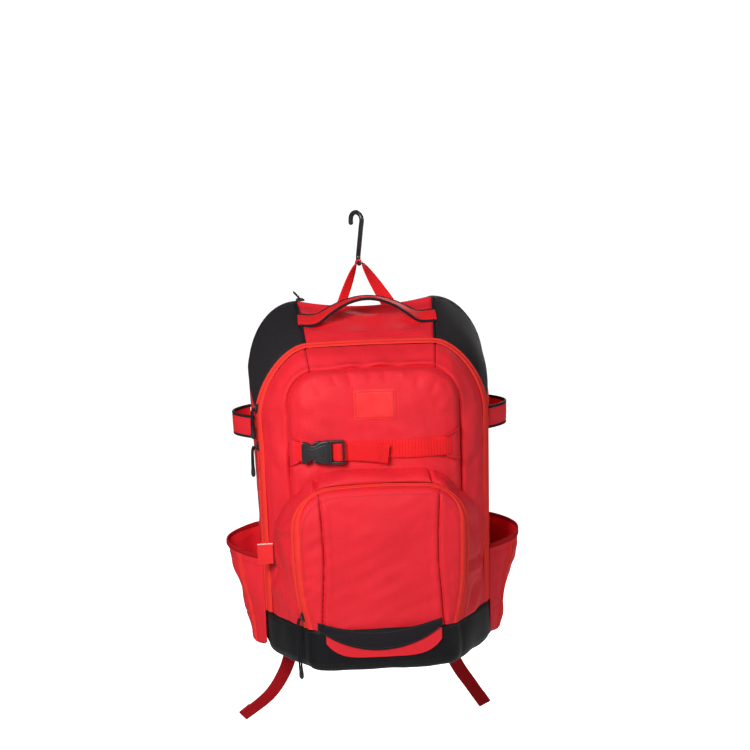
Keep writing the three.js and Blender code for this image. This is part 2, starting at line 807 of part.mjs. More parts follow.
function latchShape() {
  const from = 0.66 * buckleLong + gap;
  const half = buckleTall / 2;
  const end = buckleLong - 1;
  const outline = buckleShape([[from, -half], [end, -half], [end, half], [from, half]]);
  const bar = buckleLong * latchBar;
  for (const [a, b, margin] of [[from + 2, bar - 1.5, 0.7], [bar + 1.5, buckleLong - 3.5, 0.4]]) {
    const slotHalf = webWide / 2 + margin;
    const slot = new THREE.Path();
    slot.moveTo(a, -slotHalf);
    slot.lineTo(a, slotHalf);
    slot.lineTo(b, slotHalf);
    slot.lineTo(b, -slotHalf);
    outline.holes.push(slot);
  }
  return outline;
}

function buckle() {
  const group = new THREE.Group();
  const at = (x) => frontSkin(x, -strapDrop, strapReach);
  const slope = Math.atan2(at(buckleTo) - at(buckleFrom), buckleLong);
  const highest = Math.min(...steps(0, 1, 6).map((share) => (
    at(lerp(buckleFrom, buckleTo, share)) - share * (at(buckleTo) - at(buckleFrom)))));
  group.position.set(buckleFrom, highest - gap, -strapDrop);
  group.rotation.z = slope;
  add("buckle_socket", plate(socketShape(), buckleThick), blackPlastic, group);
  add("buckle_latch", plate(latchShape(), buckleThick * 0.7), blackPlastic, group);
  bag.add(group);
}
buckle();

// Shoulder straps: padded, behind the back panel, with webbing, a ladder lock and a free tail
const padRows = [
  { along: 0, spread: 0, back: 0, wide: 1 },
  { along: 0.07, spread: 0.02, back: 0.5, wide: 1 },
  { along: 0.2, spread: 0.16, back: 0.9, wide: 1 },
  { along: 0.4, spread: 0.52, back: 1, wide: 1 },
  { along: 0.6, spread: 0.84, back: 0.86, wide: 0.94 },
  { along: 0.8, spread: 0.98, back: 0.6, wide: 0.78 },
  { along: 1, spread: 1, back: 0.42, wide: padEndWide / padWide },
];
function smooth(values, count) {
  const curve = new THREE.CatmullRomCurve3(values, false, "centripetal");
  return steps(0, 1, count).map((share) => curve.getPoint(share));
}

const padShape = [
  { across: -1, thick: 0.3 },
  { across: -0.8, thick: 0.9 },
  { across: 0, thick: 1 },
  { across: 0.8, thick: 0.9 },
  { across: 1, thick: 0.3 },
];

function padLevels(side) {
  const centres = smooth(padRows.map(({ along, spread, back }) => point(
    side * lerp(yokeHalf, padSpread, spread), padBow * back, lerp(-padTopDrop, -padEndDrop, along))), 18);
  const wides = smooth(padRows.map(({ wide }) => point(wide, 0, 0)), 18).map((p) => p.x * padWide);
  const grid = padShape.map(({ across }) => centres.map((p, k) => (
    point(p.x + across * wides[k] / 2, p.y, p.z))));
  const directions = normals(grid);
  return [1, -1].map((sign) => grid.map((row, i) => row.map((p, j) => (
    p.clone().addScaledVector(directions[i][j], sign * padShape[i].thick * padDeep / 2)))));
}

// How far back the padded straps start, so that their sewn ends rest on the back panel
function padSeat() {
  const ends = padLevels(1).flatMap((level) => level.flatMap((row) => row.slice(0, 3)));
  const depths = ends.map((p) => skinAt(backSkin, "y", 1, p.x, p.z) - p.y);
  return Math.max(...depths) + gap;
}
const padY = padSeat();
const padEndY = padY + padBow * padRows[padRows.length - 1].back;

function shoulderPad(side) {
  const [outer, inner] = padLevels(side).map((level) => level.map((row) => (
    row.map((p) => p.add(point(0, padY, 0))))));
  return between(outer, inner);
}

// Strap tails below the ladder locks, to their free ends: how far down and out each place is,
// as shares of the tail's drop
const tailRows = [
  { down: 0, left: 0, right: 0 },
  { down: 0.065, left: 0, right: 0 },
  { down: 0.245, left: 0.016, right: 0.004 },
  { down: 0.48, left: 0.05, right: 0.016 },
  { down: 0.653, left: 0.082, right: 0.033 },
  { down: 0.76, left: 0.127, right: 0.078 },
  { down: 0.873, left: 0.208, right: 0.151 },
  { down: 1, left: 0.376, right: 0.233 },
];

function ladderLock(side) {
  const outline = new THREE.Shape();
  const half = webWide / 2 + 4;
  outline.moveTo(-half, 0);
  outline.lineTo(half, 0);
  outline.lineTo(half, -lockLong);
  outline.lineTo(-half, -lockLong);
  const slot = new THREE.Path();
  slot.moveTo(-webWide / 2 - 1, -5);
  slot.lineTo(-webWide / 2 - 1, -10);
  slot.lineTo(webWide / 2 + 1, -10);
  slot.lineTo(webWide / 2 + 1, -5);
  outline.holes.push(slot);
  const geometry = plate(outline, lockThick);
  geometry.translate(side * padSpread, padEndY + lockThick / 2, -padEndDrop - gap);
  return geometry;
}

function lowerWebbing(side) {
  const from = point(side * padSpread, padEndY, -padEndDrop - 2 * gap - lockLong);
  const seat = clearSkin(backSkin, "y", 1, anchorHalf, -anchorDrop, webWide / 2);
  const to = point(side * anchorHalf, seat + gap + webWall / 2, -anchorDrop);
  const centres = steps(0, 1, 6).map((share) => {
    const p = from.clone().lerp(to, share);
    p.y += webSag * Math.sin(Math.PI * share);
    return p;
  });
  return ribbon(centres, centres.map(() => point(1, 0, 0)), webWide, webWall);
}

function strapTail(side, name) {
  const tailY = padEndY + lockThick / 2 + gap + webWall / 2;
  const top = -padEndDrop - lockLong / 2;
  const centres = smooth(tailRows.map((row) => {
    const drop = row.down * tailLong;
    const x = side * (padSpread + row[name] * tailLong);
    return point(x, tailY - tailSway * Math.max(drop - lockLong, 0), top - drop);
  }), 16);
  const widths = centres.map((p, k) => {
    const ahead = centres[Math.min(k + 1, centres.length - 1)];
    const behind = centres[Math.max(k - 1, 0)];
    return ahead.clone().sub(behind).cross(point(0, 1, 0)).normalize();
  });
  return ribbon(centres, widths, tailWide, webWall);
}

for (const [name, side] of [["left", -1], ["right", 1]]) {
  add(`shoulder_strap_${name}`, shoulderPad(side), backMesh);
  add(`ladder_lock_${name}`, ladderLock(side), blackPlastic);
  add(`lower_webbing_${name}`, lowerWebbing(side), shadeWebbing);
  add(`strap_tail_${name}`, strapTail(side, name), shadeWebbing);
}

// Zip sliders: a small body on the coil, and a loop of cord that hangs from it
function zipPlace(grid, row, z) {
  for (let j = 0; j < topFrom; j += 1) {
    const low = grid[row][j].clone().lerp(grid[row + 1][j], 0.5);
    const high = grid[row][j + 1].clone().lerp(grid[row + 1][j + 1], 0.5);
    if (low.z <= z && z <= high.z) {
      const place = low.lerp(high, (z - low.z) / (high.z - low.z));
      const across = grid[row + 1][j].clone().sub(grid[row][j]);
      const up = grid[row][j + 1].clone().sub(grid[row][j]).normalize();
      return { place, up, out: across.cross(up).normalize() };
    }
  }
  return null;
}

function sliderGeometry() {
  const half = sliderWide / 2;
  const outline = new THREE.Shape();
  outline.moveTo(-0.55 * half, -sliderLong / 2);
  outline.lineTo(0.55 * half, -sliderLong / 2);
  outline.lineTo(half, 0.1 * sliderLong);
  outline.lineTo(0.7 * half, sliderLong / 2);
  outline.lineTo(-0.7 * half, sliderLong / 2);
  outline.lineTo(-half, 0.1 * sliderLong);
  return new THREE.ExtrudeGeometry(outline, { depth: sliderTall, bevelEnabled: false });
}

function addSlider(name, cordName, grid, row, z, cordDrop, sway = 0) {
  const { place, up, out } = zipPlace(grid, row, z);
  const side = up.clone().cross(out).normalize();
  const seat = place.clone().addScaledVector(out, sliderSeat);
  const geometry = sliderGeometry();
  geometry.applyMatrix4(new THREE.Matrix4().makeBasis(side, up, out).setPosition(seat));
  add(name, geometry, blackPlastic);
  const hang = seat.clone().addScaledVector(out, sliderTall + gap + cordWide * 0.6);
  const points = cordRoute(hang, out.clone().setZ(0).normalize(), cordDrop, sway);
  add(cordName, tube(points, cordWide / 2, 8, Math.round(2.2 * cordDrop / (2.5 * cordWide))), blackTrim);
}

// A cord loop from one side of the eye down, round its free end and back up to the eye. Its free
// end hangs to one side of the eye by the sway.
function cordRoute(hang, out, drop, sway) {
  const side = point(0, 0, 1).cross(out);
  const rows = [
    { down: 0, across: 0.2, forward: 0 },
    { down: 0.12, across: 0.3, forward: 1.5 },
    { down: 0.4, across: 0.42, forward: 2 },
    { down: 0.7, across: 0.5, forward: 2 },
    { down: 0.9, across: 0.48, forward: 2 },
    { down: 0.98, across: 0.26, forward: 2 },
  ];
  const at = ({ down, across, forward }, sign) => point(0, 0, -down * drop)
    .addScaledVector(side, sign * across * cordSpread + down * sway)
    .addScaledVector(out, forward)
    .add(hang);
  return [...rows.map((row) => at(row, -1)), at({ down: 1, across: 0, forward: 2 }, 1),
    ...rows.map((row) => at(row, 1)).reverse()];
}

for (const [name, drop] of Object.entries(sliderHeights)) {
  addSlider(name, name.replace("slider", "pull"), body, zipRow, -drop, mainCordDrop);
}
addSlider("lower_slider", "base_pull", lower, 2, -lowerSliderDrop, baseCordDrop, baseCordSway);

function rearSlider() {
  const top = clearSkin(rearZip, "z", 1, -rearSliderX, rearTape / 2, sliderLong / 2) + gap;
  const outline = new THREE.Shape();
  outline.moveTo(-sliderLong / 2, 0);
  outline.lineTo(sliderLong / 2, 0);
  outline.lineTo(sliderLong / 2, sliderTall);
  outline.lineTo(0, sliderTall);
  outline.lineTo(2 - 0.7 * tabLong, sliderTall + 0.7 * tabLong);
  outline.lineTo(-0.7 * tabLong, sliderTall + 0.7 * tabLong - 2);
  outline.lineTo(-sliderLong / 2, sliderTall);
  const geometry = plate(outline, sliderWide);
  geometry.translate(-rearSliderX, (rearTape + sliderWide) / 2, top);
  return geometry;
}
add("rear_slider", rearSlider(), blackPlastic);

const model = new THREE.Group();
model.add(hanging, bag);

export default model;
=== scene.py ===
# Bat backpack on a fence hook: sewn cloth, zips, webbing, padded straps and moulded fittings
import bmesh
import bpy
import numpy as np
from bpy.props import FloatProperty, FloatVectorProperty, PointerProperty
from mathutils import Matrix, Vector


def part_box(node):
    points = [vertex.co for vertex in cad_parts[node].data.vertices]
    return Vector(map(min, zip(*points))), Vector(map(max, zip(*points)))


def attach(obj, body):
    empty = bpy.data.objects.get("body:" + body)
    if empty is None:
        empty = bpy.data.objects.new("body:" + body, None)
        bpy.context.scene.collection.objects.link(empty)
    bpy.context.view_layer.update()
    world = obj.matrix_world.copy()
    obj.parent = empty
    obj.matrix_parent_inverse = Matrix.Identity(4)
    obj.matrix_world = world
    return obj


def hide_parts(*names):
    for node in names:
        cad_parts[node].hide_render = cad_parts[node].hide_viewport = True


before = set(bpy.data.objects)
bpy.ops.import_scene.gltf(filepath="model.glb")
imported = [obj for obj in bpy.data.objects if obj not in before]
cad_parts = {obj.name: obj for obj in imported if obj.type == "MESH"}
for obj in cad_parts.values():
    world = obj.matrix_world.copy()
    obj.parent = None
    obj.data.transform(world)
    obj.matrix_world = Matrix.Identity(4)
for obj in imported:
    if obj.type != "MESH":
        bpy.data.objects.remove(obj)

bl_info = {
    "name": "Bat backpack",
    "version": (1, 0, 0),
    "blender": (4, 5, 0),
    "location": "View3D > Sidebar > Backpack",
    "description": "Dresses a bat backpack with cloth, zips, webbing, padded straps and fittings",
    "category": "Object",
}

# Sizes in millimetres, in the bag's own frame: its middle plane is x = 0, and the hook's
# middle plane is 7.7 mm to the left of it
MM = 0.001
BAG_X = 7.7
GAP = 0.36
UP = np.array([0, 0, 1.0])
ACROSS = np.array([1.0, 0, 0])
BACKWARD = np.array([0, 1.0, 0])
SIDES = (("left", -1), ("right", 1))

HOOK_WIRE = 3.35
HOOK_BEND = 10
BACK_DROP = 120
BAG_HEIGHT = 476
BASE_HEIGHT = 60
BODY_DEPTH = 100
TAPE_DEPTH = 8
BAND_DEPTH = 38
SEAM_HALF = 117
SEAM_CORNER = 46
UPPER_CROWN = 27
UPPER_LOW_Z = -430
BAND_SEAM = (89, 84.5)
FOOT_ROUND = 13
HANDLE_REACH = 70.0
LABEL_HALF = 28
LABEL_TALL = 20
LABEL_Z = -239
REAR_TAPE = 8
PAD_THICK = 13
BOTTOM_Z = -(BACK_DROP + BAG_HEIGHT)
LOW_Z = BOTTOM_Z + BASE_HEIGHT
ZIP_Y = -(BODY_DEPTH + TAPE_DEPTH)
SEAM_Y = ZIP_Y - BAND_DEPTH

STRAP_DROP = 300
LOWER_CORNER = 56
LOWER_TAPE = 6
LOWER_CROWN = 16
LOWER_ZIP_Y = SEAM_Y - 50
POCKET_Y = LOWER_ZIP_Y - LOWER_TAPE - LOWER_CROWN

# The rings that the bag is lofted through. Each is an arch: straight sides that lean from
# low_half out to half, corners that are part of a superellipse, and a top that dips. A tuck
# lets the sides reach their full width low down
BACK_RING = dict(y=0, half=166, top=96, drop=120, tall=97, round=2, low_half=155, dip=11)
ZIP_RING = dict(y=-100, half=159, top=89, drop=163, tall=97, round=1.65, low_half=155, dip=-1)
TAPE_RING = dict(ZIP_RING, y=ZIP_Y, half=156.5, top=86.5, drop=168, low_half=152.5)
SEAM_RING = dict(y=SEAM_Y, half=117, top=71, drop=193, tall=46, round=2, low_half=117, dip=-1)
RIM_RING = dict(y=0, half=143, top=74, drop=326, tall=78, round=1.15, low_half=148, dip=0,
                ease=24)
LOWER_RING = dict(y=LOWER_ZIP_Y, half=117, top=61, drop=344, tall=56, round=2, low_half=104,
                  dip=-2, tuck=3)
LOWER_TAPE_RING = dict(LOWER_RING, y=LOWER_ZIP_Y - LOWER_TAPE, half=114.5, drop=346.5,
                       low_half=101.5)
FACE_INWARD = (0, 0.07, 0.22, 0.5, 1)
FACE_RISE = (0, 0.42, 0.74, 0.93, 1)


# Curves and fields

def lerp(a, b, share):
    return a + (b - a) * share


def everywhere(way, points):
    """The same direction at each point of a line."""
    return np.broadcast_to(way, points.shape)


def table(x, knots, values):
    """Monotone cubic through a table: in each span a Hermite cubic, whose slope at a knot is the
    harmonic mean of the chords on both sides, or zero where they turn."""
    knots = np.asarray(knots, float)
    values = np.asarray(values, float)
    x = np.clip(x, knots[0], knots[-1])
    step = np.diff(knots)
    chord = np.diff(values) / step
    slope = np.zeros(len(knots))
    product = chord[:-1] * chord[1:]
    total = chord[:-1] + chord[1:]
    inner = np.where(product > 0, 2 * product / np.where(total == 0, 1, total), 0)
    slope[1:-1] = inner
    slope[0] = chord[0]
    slope[-1] = chord[-1]
    i = np.clip(np.searchsorted(knots, x, side="right") - 1, 0, len(step) - 1)
    t = (x - knots[i]) / step[i]
    h = step[i]
    a = (1 + 2 * t) * (1 - t) ** 2
    b = t * (1 - t) ** 2
    c = t * t * (3 - 2 * t)
    d = t * t * (t - 1)
    return a * values[i] + b * h * slope[i] + c * values[i + 1] + d * h * slope[i + 1]


def crowd(count, pull=0.7):
    """Shares from 0 to 1 that stand closer at both ends: a straight run mixed with a cosine."""
    s = np.linspace(0, 1, count)
    return (1 - pull) * s + pull * (0.5 - 0.5 * np.cos(np.pi * s))


def path_through(points, count):
    """Centripetal Catmull-Rom through the points, taken at even steps of its length."""
    p = np.asarray(points, float)
    p = np.vstack([2 * p[0] - p[1], p, 2 * p[-1] - p[-2]])
    knots = np.concatenate([[0], np.cumsum(np.linalg.norm(np.diff(p, axis=0), axis=1) ** 0.5)])
    fine = []
    for k in range(1, len(p) - 2):
        t = np.linspace(knots[k], knots[k + 1], 24, endpoint=False)[:, None]
        t0, t1, t2, t3 = knots[k - 1:k + 3]
        a1 = (t1 - t) / (t1 - t0) * p[k - 1] + (t - t0) / (t1 - t0) * p[k]
        a2 = (t2 - t) / (t2 - t1) * p[k] + (t - t1) / (t2 - t1) * p[k + 1]
        a3 = (t3 - t) / (t3 - t2) * p[k + 1] + (t - t2) / (t3 - t2) * p[k + 2]
        b1 = (t2 - t) / (t2 - t0) * a1 + (t - t0) / (t2 - t0) * a2
        b2 = (t3 - t) / (t3 - t1) * a2 + (t - t1) / (t3 - t1) * a3
        fine.append((t2 - t) / (t2 - t1) * b1 + (t - t1) / (t2 - t1) * b2)
    fine = np.vstack(fine + [p[-2:-1]])
    return even_steps(fine, count)


def lengths_along(points):
    """How far along a line each of its points is."""
    return np.concatenate([[0], np.cumsum(np.linalg.norm(np.diff(points, axis=0), axis=1))])


def read_at(at, length, values):
    """Rows of values read at places along a line, straight between its points."""
    return np.stack([np.interp(at, length, column) for column in values.T], axis=1)


def even_steps(points, count):
    """The same line at count even steps of its length."""
    length = lengths_along(points)
    return read_at(np.linspace(0, length[-1], count), length, points)


def waves(points, longest, shortest, seed, count=18):
    """A smooth uneven field: the sum of plane waves in fixed directions with wavelengths between
    the two given, divided so that its usual height is about one."""
    rng = np.random.default_rng(seed)
    directions = rng.normal(size=(count, 3))
    directions /= np.linalg.norm(directions, axis=1)[:, None]
    lengths = np.exp(rng.uniform(np.log(shortest), np.log(longest), count))
    phases = rng.uniform(0, 2 * np.pi, count)
    field = np.zeros(points.shape[:-1])
    for direction, length, phase in zip(directions, lengths, phases):
        field += np.sin(points @ direction * (2 * np.pi / length) + phase)
    return field / np.sqrt(count / 2)


def folds(x, z, rows):
    """Long soft ridges and creases: each row is a line x0, z0, x1, z1 with a width and a height.
    Its section is a bell across the line, and a sine fades it out at both ends."""
    total = np.zeros(np.shape(x))
    for x0, z0, x1, z1, width, height in rows:
        ax = x1 - x0
        az = z1 - z0
        length = np.hypot(ax, az)
        along = ((x - x0) * ax + (z - z0) * az) / length ** 2
        away = ((x - x0) * az - (z - z0) * ax) / length
        fade = np.sin(np.pi * np.clip(along, 0, 1)) ** 0.7
        total += height * fade * np.exp(-(away / width) ** 2)
    return total


def unit(v):
    """The same directions at length one."""
    return v / np.maximum(np.linalg.norm(v, axis=-1, keepdims=True), 1e-9)


def grid_normals(points, flip=False, loop=False):
    """Unit normals of a grid: the way along the rows crossed with the way along the columns."""
    along = np.gradient(points, axis=0)
    if loop:
        across = (np.roll(points, -1, axis=1) - np.roll(points, 1, axis=1)) / 2
    else:
        across = np.gradient(points, axis=1)
    normal = unit(np.cross(along, across))
    return -normal if flip else normal


def run_lengths(points, axis):
    """How far each row or column of a grid is from the first, as the mean over the grid."""
    step = np.linalg.norm(np.diff(points, axis=axis), axis=2).mean(axis=1 - axis)
    return np.concatenate([[0], np.cumsum(step)])


# Mesh parts: corner points, four-sided faces with their cloth coordinates, and flat end faces

def part_of(points, flip=False, loop=False):
    """A grid of points as faces. Its cloth coordinates are the lengths along both ways in metres."""
    rows, columns = points.shape[:2]
    i = np.arange(rows - 1)[:, None]
    j = np.arange(columns if loop else columns - 1)[None, :]
    k = (j + 1) % columns
    quads = np.stack([i * columns + j, (i + 1) * columns + j, (i + 1) * columns + k,
                      i * columns + k], axis=-1).reshape(-1, 4)
    ring = np.concatenate([points, points[:, :1]], axis=1) if loop else points
    u = run_lengths(ring, 1) * MM
    v = run_lengths(points, 0) * MM
    left = np.broadcast_to(u[:-1][None, :], (rows - 1, len(u) - 1))
    right = np.broadcast_to(u[1:][None, :], left.shape)
    near = np.broadcast_to(v[:-1][:, None], left.shape)
    far = np.broadcast_to(v[1:][:, None], left.shape)
    corners = np.stack([np.stack([left, near], -1), np.stack([left, far], -1),
                        np.stack([right, far], -1), np.stack([right, near], -1)], axis=2)
    corners = corners.reshape(-1, 4, 2)
    if flip:
        quads = quads[:, ::-1]
        corners = corners[:, ::-1]
    return dict(points=points.reshape(-1, 3), quads=quads, uv=corners.reshape(-1, 2), caps=[])


def with_ends(part, count, flip):
    """The same part with its first and its last ring of points closed by flat faces."""
    first = list(range(count))
    last = [len(part["points"]) - count + k for k in range(count)]
    part["caps"] = [first if flip else first[::-1], last[::-1] if flip else last]
    return part


def spindles(rings, outward):
    """Many small closed shapes of equal build, from an array of shape, ring and point: the rings
    are joined by faces, and each shape's first and last ring are closed."""
    count, rows, sides = rings.shape[:3]
    i = np.arange(rows - 1)[:, None]
    j = np.arange(sides)[None, :]
    k = (j + 1) % sides
    corners = [i * sides + j, (i + 1) * sides + j, (i + 1) * sides + k, i * sides + k]
    if not outward:
        corners = [corners[n] for n in (0, 3, 2, 1)]
    base = (np.arange(count) * rows * sides)[:, None, None]
    quads = (np.stack(corners, -1).reshape(-1, 4)[None] + base).reshape(-1, 4)
    caps = []
    for start in range(0, count * rows * sides, rows * sides):
        first = [start + n for n in range(sides)]
        last = [start + (rows - 1) * sides + n for n in range(sides)]
        caps += [first, last[::-1]] if outward else [first[::-1], last]
    return dict(points=rings.reshape(-1, 3), quads=quads, uv=np.zeros((len(quads) * 4, 2)),
                caps=caps)


def shell(points, thick, flip=False):
    """A grid with a wall: the same grid moved in along its normals closes it, with strips along
    the four edges."""
    inner = points - grid_normals(points, flip) * thick
    edges = ((points[0], inner[0], not flip), (points[-1], inner[-1], flip),
             (points[:, 0], inner[:, 0], flip), (points[:, -1], inner[:, -1], not flip))
    return [part_of(points, flip), part_of(inner, not flip)] + [
        part_of(np.stack([outer_edge, inner_edge]), turned)
        for outer_edge, inner_edge, turned in edges]


def sweep(centres, wide, deep, outline, flip=False):
    """A profile carried along a path: at each step, outline point (a, b) goes to the centre plus
    a times the wide direction plus b times the deep direction. Both ends are closed."""
    a = outline[:, 0][None, :, None]
    b = outline[:, 1][None, :, None]
    points = centres[:, None, :] + a * wide[:, None, :] + b * deep[:, None, :]
    return with_ends(part_of(points, flip, loop=True), len(outline), flip)


def round_outline(wide, thick, corner=4):
    """A flat section with half-round edges: two straight sides joined by half circles."""
    r = thick / 2
    flat = wide / 2 - r
    angle = np.linspace(-np.pi / 2, np.pi / 2, corner + 1)
    right = np.stack([flat + r * np.cos(angle), r * np.sin(angle)], axis=1)
    middle = np.linspace(flat, -flat, 7)[1:-1]
    top = np.stack([middle, np.full(5, r)], axis=1)
    return np.vstack([right, top, -right, -top])


def circle(radius, count):
    """A round section."""
    angle = np.linspace(0, 2 * np.pi, count, endpoint=False)
    return np.stack([radius * np.cos(angle), radius * np.sin(angle)], axis=1)


def frames_along(centres, hint):
    """Directions along a path: tangent, and two at right angles that turn as little as they can,
    starting from the hint."""
    tangent = unit(np.gradient(centres, axis=0))
    side = np.zeros_like(centres)
    way = np.asarray(hint, float)
    for k in range(len(centres)):
        way = way - tangent[k] * (way @ tangent[k])
        way = way / np.linalg.norm(way)
        side[k] = way
    return tangent, side, np.cross(tangent, side)


def ribbon(centres, wide_way, width, thick):
    """Flat webbing: a round-edged section with its width along the given way."""
    tangent = unit(np.gradient(centres, axis=0))
    wide = unit(wide_way - tangent * np.sum(wide_way * tangent, axis=1, keepdims=True))
    deep = np.cross(tangent, wide)
    scale = np.linalg.norm(wide_way, axis=1, keepdims=True)
    return sweep(centres, wide * scale, deep, round_outline(width, thick), flip=True)


def tube(centres, radius, sides, hint):
    """A round wire or cord along a path."""
    _, side, up = frames_along(centres, hint)
    return sweep(centres, side, up, circle(radius, sides), flip=True)


def slab(outline, levels, place=lambda p: p):
    """A moulded plate: the outline is drawn in by each level's inset at its height, so the edges
    round over. The ends are flat."""
    ahead = np.roll(outline, -1, axis=0) - outline
    behind = outline - np.roll(outline, 1, axis=0)
    inward = unit(unit(ahead) + unit(behind))
    inward = np.stack([-inward[:, 1], inward[:, 0]], axis=1)
    area = np.sum(outline[:, 0] * np.roll(outline[:, 1], -1) - outline[:, 1]
                  * np.roll(outline[:, 0], -1))
    if area < 0:
        inward = -inward
    rows = []
    for inset, height in levels:
        flat = outline + inward * inset
        rows.append(np.column_stack([flat[:, 0], np.full(len(flat), float(height)), flat[:, 1]]))
    flip = area > 0
    return with_ends(part_of(place(np.array(rows)), flip, loop=True), len(outline), flip)


def add_object(name, data):
    thing = bpy.data.objects.new(name, data)
    bpy.context.collection.objects.link(thing)
    return thing


def mesh_of(name, parts, shift, sharp):
    """One mesh from its parts: points in bag millimetres go to metres in the model's frame."""
    parts = [p for part in parts for p in (part if isinstance(part, list) else [part])]
    points = np.vstack([p["points"] for p in parts])
    points = (points + np.array([shift, 0, 0])) * MM
    corners = []
    counts = []
    uvs = []
    base = 0
    for p in parts:
        corners.append((p["quads"] + base).reshape(-1))
        counts.append(np.full(len(p["quads"]), 4))
        uvs.append(p["uv"])
        for cap in p["caps"]:
            corners.append(np.array(cap) + base)
            counts.append(np.array([len(cap)]))
            uvs.append(np.zeros((len(cap), 2)))
        base += len(p["points"])
    corners = np.concatenate(corners)
    counts = np.concatenate(counts)
    mesh = bpy.data.meshes.new(name)
    mesh.vertices.add(len(points))
    mesh.vertices.foreach_set("co", points.reshape(-1))
    mesh.loops.add(len(corners))
    mesh.loops.foreach_set("vertex_index", corners.astype(np.int32))
    mesh.polygons.add(len(counts))
    starts = np.concatenate([[0], np.cumsum(counts)[:-1]])
    mesh.polygons.foreach_set("loop_start", starts.astype(np.int32))
    layer = mesh.uv_layers.new(name="cloth")
    mesh.update(calc_edges=True)
    layer.data.foreach_set("uv", np.vstack(uvs).astype(np.float32).reshape(-1))
    mesh.validate()
    mesh.polygons.foreach_set("use_smooth", np.ones(len(mesh.polygons), bool))
    weld(mesh)
    mesh.set_sharp_from_angle(angle=np.radians(sharp))
    return mesh


def build(name, parts, finish, nodes=(), shift=BAG_X, sharp=45):
    """One piece of the bag. Its finish gives the material."""
    piece = add_object(name, mesh_of(name, parts, shift, sharp))
    piece.data.materials.append(finished(finish))
    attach(piece, "root")
    if nodes:
        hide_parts(*nodes)
    return piece


def weld(mesh):
    """Joins points that lie on each other, so that seams and poles are closed."""
    work = bmesh.new()
    work.from_mesh(mesh)
    bmesh.ops.remove_doubles(work, verts=work.verts, dist=2e-6)
    work.to_mesh(mesh)
    work.free()


# The bag's shape

def sharp_arch(shape, low, stations):
    """Points of one or more rings. A side point leans from low_half to half, a corner point is at
    top + (half - top) cos^(2/round), and a top point dips by a parabola."""
    kind, share, hand = stations
    s = {k: np.asarray(v, float).reshape(-1, 1) for k, v in shape.items() if k != "ease"}
    corner_z = -s["drop"] - s["tall"]
    lean = 1 - (1 - share) ** s.get("tuck", np.ones((1, 1)))
    side_x = hand * lerp(s["low_half"], s["half"], lean)
    side_z = lerp(low, corner_z, share)
    angle = share * np.pi / 2
    cosine = np.clip(np.cos(angle), 0, 1) ** (2 / s["round"])
    corner_x = hand * (s["top"] + (s["half"] - s["top"]) * cosine)
    corner_top = corner_z + s["tall"] * np.sin(angle) ** (2 / s["round"])
    across = 2 * share - 1
    top_x = across * s["top"]
    top_z = -s["drop"] - s["dip"] * (1 - across ** 2)
    x = np.where(kind == 0, side_x, np.where(kind == 1, corner_x, top_x))
    z = np.where(kind == 0, side_z, np.where(kind == 1, corner_top, top_z))
    y = np.broadcast_to(s["y"], x.shape)
    return np.stack([x, y, z], axis=-1)


def arch(shape, low, stations):
    """The same rings with their turns eased, as cloth eases them: each point is the mean of the
    ring over a short length to either side of it, and the two feet stay where they are."""
    plain = sharp_arch(shape, low, stations)
    kind, share, hand = stations
    place = np.where(kind == 0, share, np.where(kind == 1, 1 + share, 2 + share))
    place = np.where((kind < 2) & (hand > 0), 5 - place, place)
    ease = float(shape.get("ease", 9))
    dense = sharp_arch(shape, low, whole_arch(120, 90, 80))
    index = np.concatenate([np.linspace(0, 1, 120)[:-1], np.linspace(1, 2, 90)[:-1],
                            np.linspace(2, 3, 80), np.linspace(3, 4, 90)[1:],
                            np.linspace(4, 5, 120)[1:]])
    for k in range(len(plain)):
        ring = dense[min(k, len(dense) - 1)]
        length = lengths_along(ring)
        at = np.interp(place, index, length)
        room = np.minimum(ease, np.minimum(at, length[-1] - at))
        total = 0
        for offset in np.linspace(-1, 1, 9):
            near = at + offset * room
            total = total + np.stack([np.interp(near, length, ring[:, i]) for i in (0, 2)], axis=-1)
        plain[k][:, 0] = total[:, 0] / 9
        plain[k][:, 2] = total[:, 1] / 9
    return plain


def stations(runs):
    """Places round an arch. Each run is (kind, hand, shares): 0 side, 1 corner, 2 top."""
    kind = np.concatenate([np.full(len(s), k) for k, _, s in runs])
    hand = np.concatenate([np.full(len(s), h) for _, h, s in runs])
    share = np.concatenate([s for _, _, s in runs])
    return kind, share, hand


def whole_arch(side=64, corner=40, top=50):
    """All stations of an arch, from the left foot over the top to the right foot."""
    a = np.linspace(0, 1, side)[:-1]
    b = np.linspace(0, 1, corner)[:-1]
    return stations([(0, -1, a), (1, -1, b), (2, 1, np.linspace(0, 1, top)), (1, 1, b[::-1]),
                     (0, 1, a[::-1])])


def mixed(a, b, share):
    """A ring between two rings."""
    return {k: lerp(a[k], b[k], share) for k in a}


def body_shape(t):
    """The ring at share t of the depth from the back seam to the main zip, which swells a little."""
    shape = mixed(BACK_RING, ZIP_RING, t)
    swell = table(t, (0, 0.25, 0.6, 1), (0, 2.5, 4, 0))
    shape["half"] = shape["half"] + swell
    shape["low_half"] = shape["low_half"] + swell / 2
    shape["drop"] = shape["drop"] - swell
    return shape


def band_shape(t):
    """The ring at share t of the front band, from the zip tape to the pocket's seam."""
    shape = mixed(TAPE_RING, SEAM_RING, t)
    shape["y"] = shape["y"] - BAND_DEPTH * table(t, (0, 0.4, 0.8, 1), (0, 0.16, 0.1, 0))
    return shape


